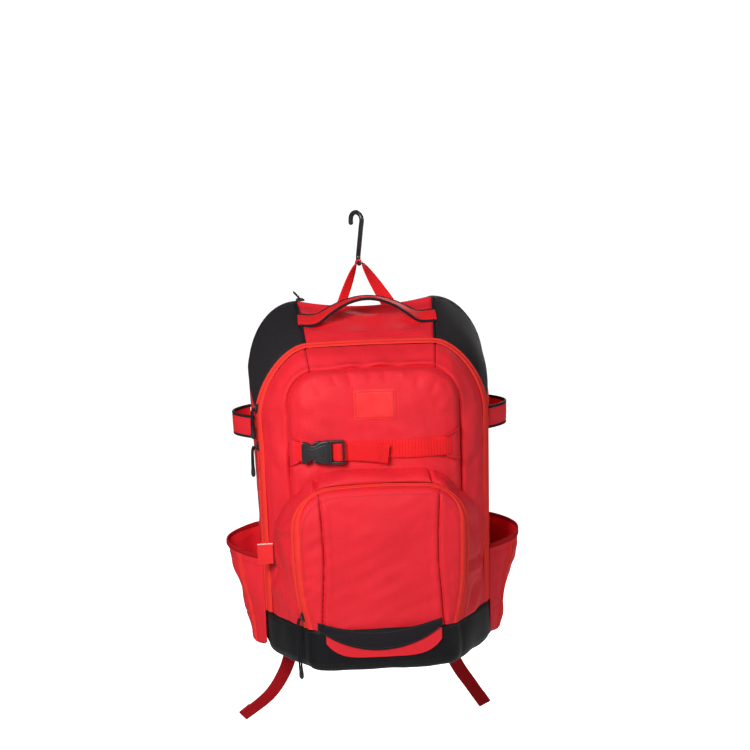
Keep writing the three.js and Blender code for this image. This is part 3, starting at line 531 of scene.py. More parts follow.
def wall_half(y, z):
    """Half the bag's width at a depth and height: the ring there, read across."""
    shape = body_shape(np.clip(-y / BODY_DEPTH, 0, 1))
    corner_z = -shape["drop"] - shape["tall"]
    side = lerp(shape["low_half"], shape["half"],
                np.clip((z - LOW_Z) / (corner_z - LOW_Z), 0, 1))
    rise = np.clip((z - corner_z) / shape["tall"], 0, 1)
    cosine = np.sqrt(np.clip(1 - rise ** shape["round"], 0, 1)) ** (2 / shape["round"])
    corner = shape["top"] + (shape["half"] - shape["top"]) * cosine
    return np.where(z > corner_z, corner, side)


def top_height(x, y):
    """How high the top of the bag is over a point."""
    shape = body_shape(np.clip(-y / BODY_DEPTH, 0, 1))
    across = np.abs(x) / shape["top"]
    inside = -shape["drop"] - shape["dip"] * (1 - across ** 2)
    reach = np.clip((np.abs(x) - shape["top"]) / (shape["half"] - shape["top"]), 0, 1)
    rise = np.clip(1 - reach ** shape["round"], 0, 1) ** (1 / shape["round"])
    outside = -shape["drop"] - shape["tall"] * (1 - rise)
    return np.where(across < 1, inside, outside)


def face_inward(x, z, ring, low):
    """How far a point of a pocket's face is from its edge (0) to its middle line (1), and how
    many millimetres that is: across below the corners, and out from the middle above them."""
    middle = -ring["drop"] - ring["round_reach"]
    edge = arch(ring, low, whole_arch(80, 60, 80))[0]
    upper = edge[:, 2] >= middle - 1e-6
    ex = edge[upper][:, 0]
    ez = edge[upper][:, 2] - middle
    order = np.argsort(np.arctan2(ex, np.maximum(ez, 0)))
    angles = np.arctan2(ex, np.maximum(ez, 0))[order]
    radii = np.hypot(ex, ez)[order]
    radius = np.interp(np.arctan2(x, np.maximum(z - middle, 1e-6)), angles, radii)
    above = np.hypot(x, z - middle) / radius
    right = (edge[:, 0] > 0)
    sides = edge[right][::-1]
    half = np.interp(z, sides[:, 2], sides[:, 0])
    below = np.abs(x) / half
    rho = np.where(z >= middle, above, below)
    size = np.where(z >= middle, radius, half)
    inward = np.clip(1 - rho, 0, 1)
    return inward, inward * size


UPPER_EDGE = dict(SEAM_RING, round_reach=2 * SEAM_CORNER)
LOWER_EDGE = dict(LOWER_TAPE_RING, round_reach=LOWER_CORNER - 2.5)

UPPER_FOLDS = (
    (-35, -194, -30, -216, 4, -1.3), (-58, -196, -50, -214, 4, -1.0), (17, -194, 13, -212, 5, -0.9),
    (64, -196, 56, -220, 5, -1.2), (-84, -203, -70, -226, 5, -1.4), (88, -207, 74, -230, 5, -1.2),
    (-104, -230, -84, -246, 6, 1.3), (104, -236, 84, -254, 6, 1.0), (40, -193, 38, -208, 4, 0.8),
    (-10, -193, -12, -210, 4, 0.7), (-112, -322, -60, -292, 7, -1.6), (-110, -345, -72, -318, 8, 1.5),
    (108, -325, 60, -300, 8, -1.4), (104, -345, 70, -322, 8, 1.4), (-100, -262, -40, -300, 12, 1.4),
    (96, -262, 30, -300, 12, 1.2), (-20, -270, 40, -285, 10, -1.0),
)
LOWER_FOLDS = (
    (-112, -500, -92, -478, 4, -1.6), (-108, -470, -90, -462, 4, -0.9), (108, -510, 88, -492, 4, -1.2),
    (110, -480, 92, -470, 5, 0.9), (-60, -530, 50, -522, 8, 1.2), (-70, -366, -30, -384, 9, -1.3),
    (60, -364, 20, -384, 9, -1.0), (-90, -530, -88, -480, 5, -1.2), (84, -530, 82, -490, 5, -1.0),
    (-100, -420, -84, -404, 5, 0.8), (-40, -400, 40, -412, 22, 1.2),
)


def upper_face(x, z):
    """Depth of the upper pocket's face: the seam's depth less a crown that rises quickly at the
    edge, less gathers at the seam, soft folds and an uneven surface."""
    inward, reach = face_inward(x, z, UPPER_EDGE, LOW_Z)
    rise = table(inward, FACE_INWARD, FACE_RISE)
    soft = np.clip(reach / 18, 0, 1)
    p = np.stack([x, 0 * x, z], -1)
    gathers = np.sin(x / 5.2 + 1.3 * np.sin(x / 17)) * np.exp(-((reach - 7) / 8) ** 2) * 0.75
    relief = soft * (1.1 * waves(p, 160, 60, 3) + 0.35 * waves(p, 50, 18, 4))
    tuck = -5.0 * np.exp(-(reach / 2.2) ** 2)
    fold = 1.35 * folds(x, z, UPPER_FOLDS) * np.clip(reach / 8, 0, 1)
    return SEAM_Y - UPPER_CROWN * rise - gathers - relief - tuck - fold


def lower_seam_x(z):
    """Where the lower pocket's two upright seams stand at a height, as half of their distance."""
    return table(z, (-540, -500, -440, -390, -345), (82, 80, 77, 78.5, 82))


def lower_face(x, z):
    """Depth of the lower pocket's face, with its two upright seams pressed in."""
    inward, reach = face_inward(x, z, LOWER_EDGE, LOW_Z)
    rise = table(inward, FACE_INWARD, FACE_RISE)
    soft = np.clip(reach / 16, 0, 1)
    p = np.stack([x, 0 * x, z], -1)
    relief = soft * (0.9 * waves(p, 170, 70, 13) + 0.28 * waves(p, 45, 18, 14))
    tuck = -1.5 * np.exp(-(reach / 2.2) ** 2)
    seam = np.abs(np.abs(x) - lower_seam_x(z))
    press = -3.0 * np.exp(-(seam / 1.6) ** 2) + 1.1 * np.exp(-((seam - 6) / 5) ** 2)
    press = press * np.clip(reach / 10, 0, 1)
    fold = folds(x, z, LOWER_FOLDS) * np.clip(reach / 8, 0, 1)
    return LOWER_TAPE_RING["y"] - LOWER_CROWN * rise - relief - tuck - press - fold


def band_side(x, z):
    """Depth of the front band beside the pocket's seam, below the corners."""
    tape = lerp(TAPE_RING["low_half"], TAPE_RING["half"],
                np.clip((z - LOW_Z) / (-265 - LOW_Z), 0, 1))
    t = np.clip((tape - np.abs(x)) / (tape - SEAM_HALF), 0, 1)
    bulge = table(t, (0, 0.4, 0.8, 1), (0, 0.16, 0.1, 0))
    return ZIP_Y - BAND_DEPTH * (t + bulge)


def front_depth(x, z):
    """Depth of the bag's front behind the lower pocket and the strap."""
    return np.where(np.abs(x) < SEAM_HALF, upper_face(x, z), band_side(x, z))


def face_grid(ring, low, rows_corner, rows_side, columns):
    """Places of a pocket's face as level rows between the two sides of its arch."""
    angle = np.linspace(np.pi / 2, 0, rows_corner)
    cosine = np.clip(np.cos(angle), 0, 1) ** (2 / ring["round"])
    sine = np.sin(angle) ** (2 / ring["round"])
    corner_z = -ring["drop"] - ring["tall"]
    share = np.linspace(1, 0, rows_side)[1:]
    lean = 1 - (1 - share) ** ring.get("tuck", 1)
    z = np.concatenate([corner_z + ring["tall"] * sine, lerp(low, corner_z, share)])
    half = np.concatenate([ring["top"] + (ring["half"] - ring["top"]) * cosine,
                           lerp(ring["low_half"], ring["half"], lean)])
    u = 2 * crowd(columns, 0.55) - 1
    x = half[:, None] * u[None, :]
    lift = np.concatenate([sine ** 8, np.zeros(len(share))])[:, None]
    arc = 1 - np.clip(np.abs(x) / ring["top"], 0, 1) ** 2
    z = z[:, None] - ring["dip"] * arc * lift
    return x, z


# Materials: shared effects are node groups, and each finish places them with its own values

def put(tree, kind, place=(0, 0), **values):
    node = tree.nodes.new(kind)
    node.location = place
    for name, value in values.items():
        setattr(node, name, value)
    return node


def math(tree, operation, a, b=None, c=None):
    node = put(tree, "ShaderNodeMath", operation=operation)
    for k, value in enumerate(v for v in (a, b, c) if v is not None):
        if isinstance(value, (int, float)):
            node.inputs[k].default_value = value
        else:
            tree.links.new(value, node.inputs[k])
    return node.outputs[0]


def new_group(name, place, inputs, outputs):
    """An empty node group with a vector that places it, and with numbers in and out."""
    tree = bpy.data.node_groups.new(name, "ShaderNodeTree")
    tree.interface.new_socket(name=place, in_out="INPUT", socket_type="NodeSocketVector")
    for way, labels in (("INPUT", inputs), ("OUTPUT", outputs)):
        for label in labels:
            tree.interface.new_socket(name=label, in_out=way, socket_type="NodeSocketFloat")
    return tree, put(tree, "NodeGroupInput"), put(tree, "NodeGroupOutput")


def wave(tree, place, density):
    """A sine along one coordinate, with so many half waves to a metre."""
    turn = math(tree, "MULTIPLY", math(tree, "MULTIPLY", place, density), np.pi)
    return math(tree, "SINE", turn)


def weave_group():
    """Plain weave: the height is the product of two rounded yarn profiles, and the slubs are two
    noises drawn out along the warp and along the weft."""
    tree, start, end = new_group("plain_weave", "Cloth", ("Threads", "Slubs"), ("Height", "Tone"))
    split = put(tree, "ShaderNodeSeparateXYZ")
    tree.links.new(start.outputs["Cloth"], split.inputs[0])
    warp, weft = (wave(tree, split.outputs[axis], start.outputs["Threads"]) for axis in (0, 1))
    over = math(tree, "MULTIPLY", warp, weft)
    yarn = math(tree, "POWER", math(tree, "ABSOLUTE", over), 0.55)
    lift = math(tree, "MULTIPLY_ADD", math(tree, "SIGN", over), 0.12, 0.88)
    height = math(tree, "MULTIPLY", yarn, lift)
    tones = []
    for stretch in ((1, 0.06), (0.06, 1)):
        joined = put(tree, "ShaderNodeCombineXYZ")
        for axis in (0, 1):
            tree.links.new(math(tree, "MULTIPLY", split.outputs[axis], stretch[axis]),
                           joined.inputs[axis])
        noise = put(tree, "ShaderNodeTexNoise", noise_dimensions="2D")
        noise.inputs["Detail"].default_value = 2
        tree.links.new(joined.outputs[0], noise.inputs["Vector"])
        tree.links.new(start.outputs["Slubs"], noise.inputs["Scale"])
        tones.append(noise.outputs[0])
    tone = math(tree, "MULTIPLY", math(tree, "ADD", tones[0], tones[1]), 0.5)
    tree.links.new(height, end.inputs["Height"])
    tree.links.new(tone, end.inputs["Tone"])
    return tree


def rib_group():
    """Webbing: ribs straight across the strap, each a sine's upper half, crossed by fine lines
    along it."""
    tree, start, end = new_group("webbing_ribs", "Cloth", ("Ribs", "Lines"), ("Height", "Tone"))
    split = put(tree, "ShaderNodeSeparateXYZ")
    tree.links.new(start.outputs["Cloth"], split.inputs[0])
    across = wave(tree, split.outputs[1], start.outputs["Ribs"])
    along = wave(tree, split.outputs[0], start.outputs["Lines"])
    rib = math(tree, "POWER", math(tree, "ABSOLUTE", across), 0.6)
    line = math(tree, "ABSOLUTE", along)
    height = math(tree, "MULTIPLY_ADD", line, 0.3, math(tree, "MULTIPLY", rib, 0.7))
    tree.links.new(height, end.inputs["Height"])
    # The rib's profile also goes out as Tone, which the webbing uses for painted shade between ribs
    tree.links.new(rib, end.inputs["Tone"])
    return tree


def handling_group():
    """Uneven dye and handling marks: broad noise makes cloudy light and dark places, and fine
    noise makes lint and dust."""
    tree, start, end = new_group("dye_and_dust", "Place", ("Size",), ("Cloud", "Dust"))
    cloud = put(tree, "ShaderNodeTexNoise")
    cloud.inputs["Detail"].default_value = 3
    tree.links.new(start.outputs["Place"], cloud.inputs["Vector"])
    tree.links.new(start.outputs["Size"], cloud.inputs["Scale"])
    dust = put(tree, "ShaderNodeTexNoise")
    dust.inputs["Detail"].default_value = 6
    tree.links.new(start.outputs["Place"], dust.inputs["Vector"])
    tree.links.new(math(tree, "MULTIPLY", start.outputs["Size"], 40), dust.inputs["Scale"])
    speck = put(tree, "ShaderNodeMapRange")
    speck.inputs["From Min"].default_value = 0.62
    speck.inputs["From Max"].default_value = 0.8
    tree.links.new(dust.outputs[0], speck.inputs["Value"])
    tree.links.new(cloud.outputs[0], end.inputs["Cloud"])
    tree.links.new(speck.outputs[0], end.inputs["Dust"])
    return tree


def shared_group(maker):
    """The node group that the maker builds, built once."""
    known = bpy.data.node_groups.get(maker.__name__)
    if known is None:
        known = maker()
        known.name = maker.__name__
    return known


def place_group(tree, maker, **values):
    node = put(tree, "ShaderNodeGroup")
    node.node_tree = shared_group(maker)
    for name, value in values.items():
        node.inputs[name].default_value = value
    return node


def mixed_colour(tree, share, a, b):
    node = put(tree, "ShaderNodeMix", data_type="RGBA")
    for socket, value in ((node.inputs[6], a), (node.inputs[7], b)):
        if isinstance(value, tuple):
            socket.default_value = (*value, 1)
        else:
            tree.links.new(value, socket)
    tree.links.new(share, node.inputs[0])
    return node.outputs[2]


def started(name, roughness, specular=0.5, sheen=0.0, coat=0.0):
    """A new material of this finish, or the one made before. The frame's own materials keep their
    names, so a finish is named apart from them."""
    name = "finish_" + name
    known = bpy.data.materials.get(name)
    if known is not None:
        return known, None, None
    material = bpy.data.materials.new(name)
    material.use_nodes = True
    tree = material.node_tree
    shader = tree.nodes["Principled BSDF"]
    shader.inputs["Roughness"].default_value = roughness
    shader.inputs["Specular IOR Level"].default_value = specular
    shader.inputs["Sheen Weight"].default_value = sheen
    shader.inputs["Sheen Roughness"].default_value = 0.5
    shader.inputs["Coat Weight"].default_value = coat
    shader.inputs["Coat Roughness"].default_value = 0.25
    return material, tree, shader


def scaled(colour, factor):
    return tuple(min(c * factor, 1) for c in colour)


def finish_tree(tree, shader, colour, height, strength, distance, rough=None):
    bump = put(tree, "ShaderNodeBump")
    bump.inputs["Strength"].default_value = strength
    bump.inputs["Distance"].default_value = distance
    tree.links.new(height, bump.inputs["Height"])
    tree.links.new(bump.outputs[0], shader.inputs["Normal"])
    tree.links.new(colour, shader.inputs["Base Color"])
    if rough is not None:
        tree.links.new(rough, shader.inputs["Roughness"])


def pattern_on(tree, maker, **values):
    """A cloth pattern, placed by the piece's cloth coordinates."""
    cloth = put(tree, "ShaderNodeUVMap", uv_map="cloth")
    pattern = place_group(tree, maker, **values)
    tree.links.new(cloth.outputs[0], pattern.inputs["Cloth"])
    return pattern


def marks_on(tree, size):
    """Uneven dye and dust, placed by the object's own coordinates."""
    place = put(tree, "ShaderNodeTexCoord")
    marks = place_group(tree, handling_group, Size=size)
    tree.links.new(place.outputs["Object"], marks.inputs["Place"])
    return marks, place.outputs["Object"]


def uneven(tree, marks, roughness, spread):
    """A roughness that goes up and down with the marks."""
    return math(tree, "MULTIPLY_ADD", marks.outputs["Cloud"], spread, roughness - spread / 2)


def woven(name, colour, threads=1250.0, roughness=0.62, sheen=0.05, specular=0.3, depth=0.35,
          contrast=0.16):
    """Woven cloth: yarn tops are the colour itself, and the gaps between yarns are painted darker, as
    the shade that falls in them; the slubs and the cloudy dye are the cloth's own uneven tone.
    """
    material, tree, shader = started(name, roughness, specular, sheen)
    if tree is None:
        return material
    shader.inputs["Sheen Tint"].default_value = (*scaled(colour, 1.3), 1)
    weave = pattern_on(tree, weave_group, Threads=threads, Slubs=900.0)
    marks, _ = marks_on(tree, 14.0)
    tone = math(tree, "MULTIPLY_ADD", weave.outputs["Tone"], contrast * 3.2, 0.5 - contrast * 1.6)
    # Painted shade: the weave's height lightens the yarn tops and darkens the gaps between them
    tone = math(tree, "MULTIPLY_ADD", weave.outputs["Height"], contrast, tone)
    cloudy = math(tree, "MULTIPLY_ADD", marks.outputs["Cloud"], 0.5, -0.25)
    share = math(tree, "ADD", tone, cloudy)
    cloth_colour = mixed_colour(tree, share, scaled(colour, 0.72), scaled(colour, 1.16))
    dusty = math(tree, "MULTIPLY", marks.outputs["Dust"], 0.05)
    cloth_colour = mixed_colour(tree, dusty, cloth_colour, DUST)
    finish_tree(tree, shader, cloth_colour, weave.outputs["Height"], depth, 0.0004,
                uneven(tree, marks, roughness, 0.16))
    return material


def webbed(name, colour, ribs=440.0, lines=900.0, depth=0.2, contrast=0.4):
    """Webbing or tape: ribs across it and fine lines along it, painted darker between the ribs as the
    shade in their hollows.
    """
    roughness = 0.7
    material, tree, shader = started(name, roughness, 0.1)
    if tree is None:
        return material
    ribbed = pattern_on(tree, rib_group, Ribs=ribs, Lines=lines)
    marks, _ = marks_on(tree, 20.0)
    # Painted shade: the rib's profile darkens the colour in the hollows between ribs
    tone = math(tree, "MULTIPLY_ADD", ribbed.outputs["Tone"], contrast, 0.5 - contrast / 2)
    share = math(tree, "MULTIPLY_ADD", marks.outputs["Cloud"], 0.4, math(tree, "SUBTRACT", tone, 0.2))
    cloth_colour = mixed_colour(tree, share, scaled(colour, 0.7), scaled(colour, 1.18))
    finish_tree(tree, shader, cloth_colour, ribbed.outputs["Height"], depth, 0.0006,
                uneven(tree, marks, roughness, 0.14))
    return material


def moulded(name, colour, roughness=0.42, grain=2600.0, coat=0.0):
    """Moulded plastic or dipped metal: a fine even grain, lighter on rubbed places."""
    material, tree, shader = started(name, roughness, coat=coat)
    if tree is None:
        return material
    marks, place = marks_on(tree, 30.0)
    pits = put(tree, "ShaderNodeTexNoise")
    pits.inputs["Scale"].default_value = grain
    pits.inputs["Detail"].default_value = 1
    tree.links.new(place, pits.inputs["Vector"])
    rubbed = math(tree, "MULTIPLY_ADD", marks.outputs["Cloud"], 0.9, math(
        tree, "MULTIPLY", marks.outputs["Dust"], 0.3))
    skin = mixed_colour(tree, rubbed, scaled(colour, 0.78), scaled(colour, 1.35))
    finish_tree(tree, shader, skin, pits.outputs[0], 0.12, 0.0002,
                uneven(tree, marks, roughness, 0.24))
    return material


def meshed(name, colour, cells=330.0):
    """Spacer mesh: round holes in a honeycomb, painted dark inside as the shade deep in them, with
    cloudy wear on the knit.
    """
    material, tree, shader = started(name, 0.85, 0.2, 0.3)
    if tree is None:
        return material
    cloth = put(tree, "ShaderNodeUVMap", uv_map="cloth")
    holes = put(tree, "ShaderNodeTexVoronoi", voronoi_dimensions="2D")
    holes.inputs["Scale"].default_value = cells
    holes.inputs["Randomness"].default_value = 0.12
    tree.links.new(cloth.outputs[0], holes.inputs["Vector"])
    rim = put(tree, "ShaderNodeMapRange")
    rim.inputs["From Min"].default_value = 0.22
    rim.inputs["From Max"].default_value = 0.42
    tree.links.new(holes.outputs["Distance"], rim.inputs["Value"])
    marks, _ = marks_on(tree, 16.0)
    worn = mixed_colour(tree, marks.outputs["Cloud"], scaled(colour, 0.8), scaled(colour, 1.3))
    # Painted shade: the holes take a quarter of the colour, as the shade deep in them
    skin = mixed_colour(tree, rim.outputs[0], scaled(colour, 0.25), worn)
    finish_tree(tree, shader, skin, rim.outputs[0], 0.9, 0.0008)
    return material


DUST = (0.8, 0.72, 0.68)
RED = (0.80, 0.014, 0.027)

# Each finish: its maker, its slot, its colour or the name of one in the panel, the share of that
# colour that it takes, and its own values
FINISHES = {
    "red_canvas": (woven, "red_fabric", "red", 1, {}),
    "black_canvas": (woven, "black_fabric", "black", 1,
                     dict(roughness=0.8, sheen=0.06, specular=0.2)),
    "coated_black": (woven, "coated_fabric", "coated", 1,
                     dict(threads=1000.0, roughness=0.5, sheen=0.0, specular=0.2, depth=0.1,
                          contrast=0.1)),
    "label_satin": (woven, "label_fabric", (0.93, 0.028, 0.03), 1,
                    dict(threads=2600.0, roughness=0.5, sheen=0.2, depth=0.2, contrast=0.1)),
    "zip_tape": (webbed, "zip_tape", "zip", 1,
                 dict(ribs=700.0, lines=1500.0, depth=0.15, contrast=0.18)),
    "red_webbing": (webbed, "red_webbing", "webbing", 1, dict(ribs=230.0, contrast=0.6, depth=0.45)),
    "flat_webbing": (webbed, "red_webbing", "webbing", 1,
                     dict(ribs=620.0, contrast=0.2, depth=0.15)),
    "tail_webbing": (webbed, "tail_webbing", "tails", 1, {}),
    "black_binding": (webbed, "black_trim", (0.016, 0.014, 0.017), 1,
                      dict(ribs=800.0, lines=1600.0)),
    # Painted shade: the seam cords take only 0.3 of the red, dark as the shadow deep in the seams
    "seam_welt": (webbed, "red_fabric", RED, 0.3, dict(ribs=1500.0, lines=1500.0)),
    "cord_sheath": (webbed, "black_trim", (0.014, 0.013, 0.015), 1,
                    dict(ribs=1400.0, lines=1400.0, depth=0.3)),
    "pale_selvedge": (webbed, "label_fabric", (0.78, 0.74, 0.72), 1,
                      dict(ribs=900.0, lines=1600.0)),
    "zip_chain": (moulded, "zip_tape", "zip", 0.72, dict(roughness=0.4)),
    "red_thread": (moulded, "red_fabric", RED, 0.62, dict(roughness=0.6, grain=5000.0)),
    "black_thread": (moulded, "black_fabric", (0.02, 0.018, 0.02), 1,
                     dict(roughness=0.6, grain=5000.0)),
    "black_plastic": (moulded, "black_plastic", "plastic", 1, dict(roughness=0.38)),
    "hook_coat": (moulded, "hook_coat", (0.011, 0.011, 0.012), 1,
                  dict(roughness=0.3, grain=1200.0, coat=0.35)),
    "back_mesh": (meshed, "back_mesh", (0.045, 0.042, 0.047), 1, {}),
}


class BagLooks(bpy.types.PropertyGroup):
    """Colours of the bag's cloth and fittings."""

    red: FloatVectorProperty(name="Red cloth", description="Main polyester canvas",
                             subtype="COLOR", default=RED, min=0, max=1)
    black: FloatVectorProperty(name="Black cloth", description="Shoulder panels of the body",
                               subtype="COLOR", default=(0.017, 0.014, 0.0165), min=0, max=1)
    coated: FloatVectorProperty(name="Coated base", description="Coated cloth of the base",
                                subtype="COLOR", default=(0.0065, 0.006, 0.0075), min=0, max=1)
    zip: FloatVectorProperty(name="Zip tape", description="Tape and chain of the red zips",
                             subtype="COLOR", default=(0.95, 0.04, 0.031), min=0, max=1)
    webbing: FloatVectorProperty(name="Webbing", description="Front strap, handle and loop",
                                 subtype="COLOR", default=(0.82, 0.016, 0.02), min=0, max=1)
    tails: FloatVectorProperty(name="Strap tails", description="Webbing of the shoulder straps",
                               subtype="COLOR", default=(0.40, 0.006, 0.01), min=0, max=1)
    plastic: FloatVectorProperty(name="Plastic", description="Buckle, sliders and ladder locks",
                                 subtype="COLOR", default=(0.02, 0.018, 0.019), min=0, max=1)


class BagSizes(bpy.types.PropertyGroup):
    """Sizes that a user may change without leaving the frame."""

    cloth: FloatProperty(name="Cloth", description="Thickness of the main cloth in millimetres",
                         default=1.2, min=0.6, max=2.0)
    stitch: FloatProperty(name="Stitch", description="Length of one stitch in millimetres",
                          default=3.4, min=2.0, max=6.0)
    puff: FloatProperty(name="Strap filling", description="How far the padding may swell",
                        default=0.004, min=0.0, max=0.008, unit="LENGTH", subtype="DISTANCE")
    webbing: FloatProperty(name="Webbing", description="Thickness of the webbing in millimetres",
                           default=1.8, min=1.0, max=2.4)


def looks():
    return bpy.context.scene.bag_looks


def finished(name):
    """The material of a finish, in the panel's colour where the table names one."""
    maker, _, colour, share, values = FINISHES[name]
    if isinstance(colour, str):
        colour = tuple(getattr(looks(), colour))
    return maker(name, scaled(colour, share), **values)


def sizes():
    return bpy.context.scene.bag_sizes


# Seams

def edge_dip(points, edges, depth=1.3, width=2.6):
    """Sinks a grid towards its sewn edges: a bell of the distance from each edge named."""
    normal = grid_normals(points)
    rows = run_lengths(points, 0)
    columns = run_lengths(points, 1)
    sunk = np.zeros(points.shape[:2])
    for edge in edges:
        away = {"first": rows[:, None], "last": (rows[-1] - rows)[:, None],
                "left": columns[None, :], "right": (columns[-1] - columns)[None, :]}[edge]
        sunk = sunk + np.exp(-(away / width) ** 2)
    return points - normal * (np.minimum(sunk, 1.2) * depth)[..., None]


def relieved(points, amount, seed, longest, shortest, edges=12):
    """Adds an uneven surface to a grid along its normals, fading out at its edges."""
    rows = run_lengths(points, 0)
    columns = run_lengths(points, 1)
    near = np.minimum(np.minimum(rows, rows[-1] - rows)[:, None],
                      np.minimum(columns, columns[-1] - columns)[None, :])
    field = waves(points, longest, shortest, seed) * amount * np.clip(near / edges, 0, 1)
    return points + grid_normals(points) * field[..., None]


def row_at(points, distance, from_last=False, loop=False, flip=False):
    """The line across a grid at a distance from its first or last row, with its normals."""
    normal = grid_normals(points, flip, loop)
    rows = run_lengths(points, 0)
    at = rows[-1] - distance if from_last else distance
    k = int(np.clip(np.searchsorted(rows, at) - 1, 0, len(rows) - 2))
    t = (at - rows[k]) / (rows[k + 1] - rows[k])
    return lerp(points[k], points[k + 1], t), unit(lerp(normal[k], normal[k + 1], t))


def column_at(points, distance, from_last=False, flip=False):
    """The line up a grid at a distance from its first or last column, with its normals."""
    return row_at(points.transpose(1, 0, 2), distance, from_last, flip=not flip)


# Each ring of a stitch: its share of the length, its size and its height
STITCH_RINGS = ((-0.5, 0.12, -0.3), (-0.36, 0.8, 0.05), (0, 1, 0.3), (0.36, 0.8, 0.05),
                (0.5, 0.12, -0.3))


def stitches(line, normal, pitch=None, width=0.75, lift=0.12, rest=0.82):
    """A run of thread stitches: each is a spindle of five rings that dives into the cloth at both
    ends, laid end to end along the line."""
    pitch = sizes().stitch if pitch is None else pitch
    length = lengths_along(line)
    count = max(int(length[-1] / pitch), 1)
    at = (np.arange(count) + 0.5) * length[-1] / count
    centre = read_at(at, length, line)
    out = unit(read_at(at, length, normal))
    step = 0.4 * pitch
    way = unit(read_at(at + step, length, line) - read_at(at - step, length, line))
    side = unit(np.cross(way, out))
    angle = np.linspace(0, 2 * np.pi, 6, endpoint=False)
    rings = []
    for along, size, height in STITCH_RINGS:
        middle = centre + way * (along * pitch * rest) + out * (lift + height * width / 2)
        ring = (side[:, None, :] * np.cos(angle)[None, :, None]
                + out[:, None, :] * (0.8 * np.sin(angle))[None, :, None]) * (size * width / 2)
        rings.append(middle[:, None, :] + ring)
    return spindles(np.stack(rings, axis=1), False)


def sewn(runs, pitch=None):
    """Stitches along each run, which is a line with its normals."""
    return [stitches(line, normal, pitch) for line, normal in runs]


def draped(xs, zs, depth_at, lift=0.3):
    """A line on a face: its depth comes from the face, and its normals from the face's slopes."""
    y = depth_at(xs, zs)
    e = 0.5
    slope_x = (depth_at(xs + e, zs) - depth_at(xs - e, zs)) / (2 * e)
    slope_z = (depth_at(xs, zs + e) - depth_at(xs, zs - e)) / (2 * e)
    normal = unit(np.stack([slope_x, -np.ones_like(xs), slope_z], axis=1))
    return np.stack([xs, y, zs], axis=1) + normal * lift, normal


def band_seam_x(z):
    """Where the front band's two short upright seams stand at a height."""
    return lerp(*BAND_SEAM, (z + 166) / -36)


def seam_welts():
    """The folded edges deep in the seams, painted dark as the shade that falls in them: thin cords of
    dark red cloth round the upper pocket, along the lower pocket's two upright seams and down the
    band's two short ones."""
    edge = arch(SEAM_RING, UPPER_LOW_Z, whole_arch(70, 50, 70))[0]
    edge[:, 1] = upper_face(edge[:, 0], edge[:, 2]) - 0.2
    lines = [edge]
    z = np.linspace(-352, LOW_Z + 3, 130)
    high = np.linspace(-167, -204, 30)
    band = front_band()
    for hand in (-1, 1):
        lines.append(draped(hand * lower_seam_x(z), z, lower_face, 0.0)[0])
        lines.append(on_grid(band, hand * band_seam_x(high), high)[0])
    return [tube(line, 0.55, 8, (0, 1, 0.3)) for line in lines]


def on_grid(grid, x, z):
    """A line over a grid: the grid's nearest points to the wanted places across and down."""
    flat = grid.reshape(-1, 3)
    normal = grid_normals(grid).reshape(-1, 3)
    front = normal[:, 1] < 0
    flat = flat[front]
    normal = normal[front]
    away = (flat[None, :, 0] - x[:, None]) ** 2 + (flat[None, :, 2] - z[:, None]) ** 2
    near = np.argsort(away, axis=1)[:, :3]
    share = 1 / (np.take_along_axis(away, near, axis=1) + 0.05)
    share = (share / share.sum(axis=1, keepdims=True))[..., None]
    line = np.sum(flat[near] * share, axis=1)
    line[:, 0] = x
    line[:, 2] = z
    return line, unit(np.sum(normal[near] * share, axis=1))


def arch_inset(ring, low, distance):
    """The line at a distance inside an arch, in its own plane."""
    edge = arch(ring, low, whole_arch(60, 40, 60))[0]
    flat = edge[:, [0, 2]]
    way = unit(np.gradient(flat, axis=0))
    inner = flat + np.stack([way[:, 1], -way[:, 0]], axis=1) * distance
    return inner[:, 0], inner[:, 1]


# Cloth of the body

GUSSET_FOLDS = (
    (100, -360, 142, -440, 7, -2.2), (108, -348, 146, -420, 7, 1.8), (112, -455, 152, -466, 5, -1.8),
    (112, -470, 150, -480, 6, 1.6), (121, -530, 134, -490, 4, -2.2), (130, -534, 143, -500, 5, 1.4),
    (-160, -432, -124, -360, 7, -2.2), (-152, -416, -112, -350, 6, 1.8),
    (-164, -508, -132, -452, 6, -2.0), (-158, -524, -126, -474, 6, 1.6),
    (-124, -534, -114, -490, 4, -1.6), (-112, -350, -86, -340, 6, 1.3), (110, -352, 80, -342, 6, 1.2),
    (-81, -323, -88, -352, 2.2, -2.4), (70, -327, 76, -352, 2.2, -2.2),
    (-104, -372, -140, -398, 6, -1.6), (-112, -396, -146, -416, 5, 1.4),
    (96, -352, 128, -372, 6, -1.6),
)


def body_grid(runs, rows=26):
    """Some stations of the arch from the back seam to the main zip."""
    return arch(body_shape(crowd(rows)), LOW_Z, stations(runs))


def side_runs(hand):
    """The stations of the side wall and of the shoulder panel, for one side of the bag."""
    shares = crowd(60, 0.5)
    corner = crowd(46, 0.6)
    if hand > 0:
        return [(0, hand, shares[::-1])], [(1, hand, corner[::-1])]
    return [(0, hand, shares)], [(1, hand, corner)]


def wall_panel(hand):
    """A red side wall, sunk at its seams."""
    low, _ = side_runs(hand)
    points = relieved(body_grid(low), 1.0, 21 + hand, 140, 40)
    seam = "right" if hand < 0 else "left"
    return edge_dip(points, ["first", "last", seam])


def shoulder_panel(hand):
    """A black panel over one of the bag's shoulders, sunk at its seams."""
    _, corner = side_runs(hand)
    points = relieved(body_grid(corner), 0.9, 25 + hand, 130, 45)
    return edge_dip(points, ["first", "last", "left", "right"])


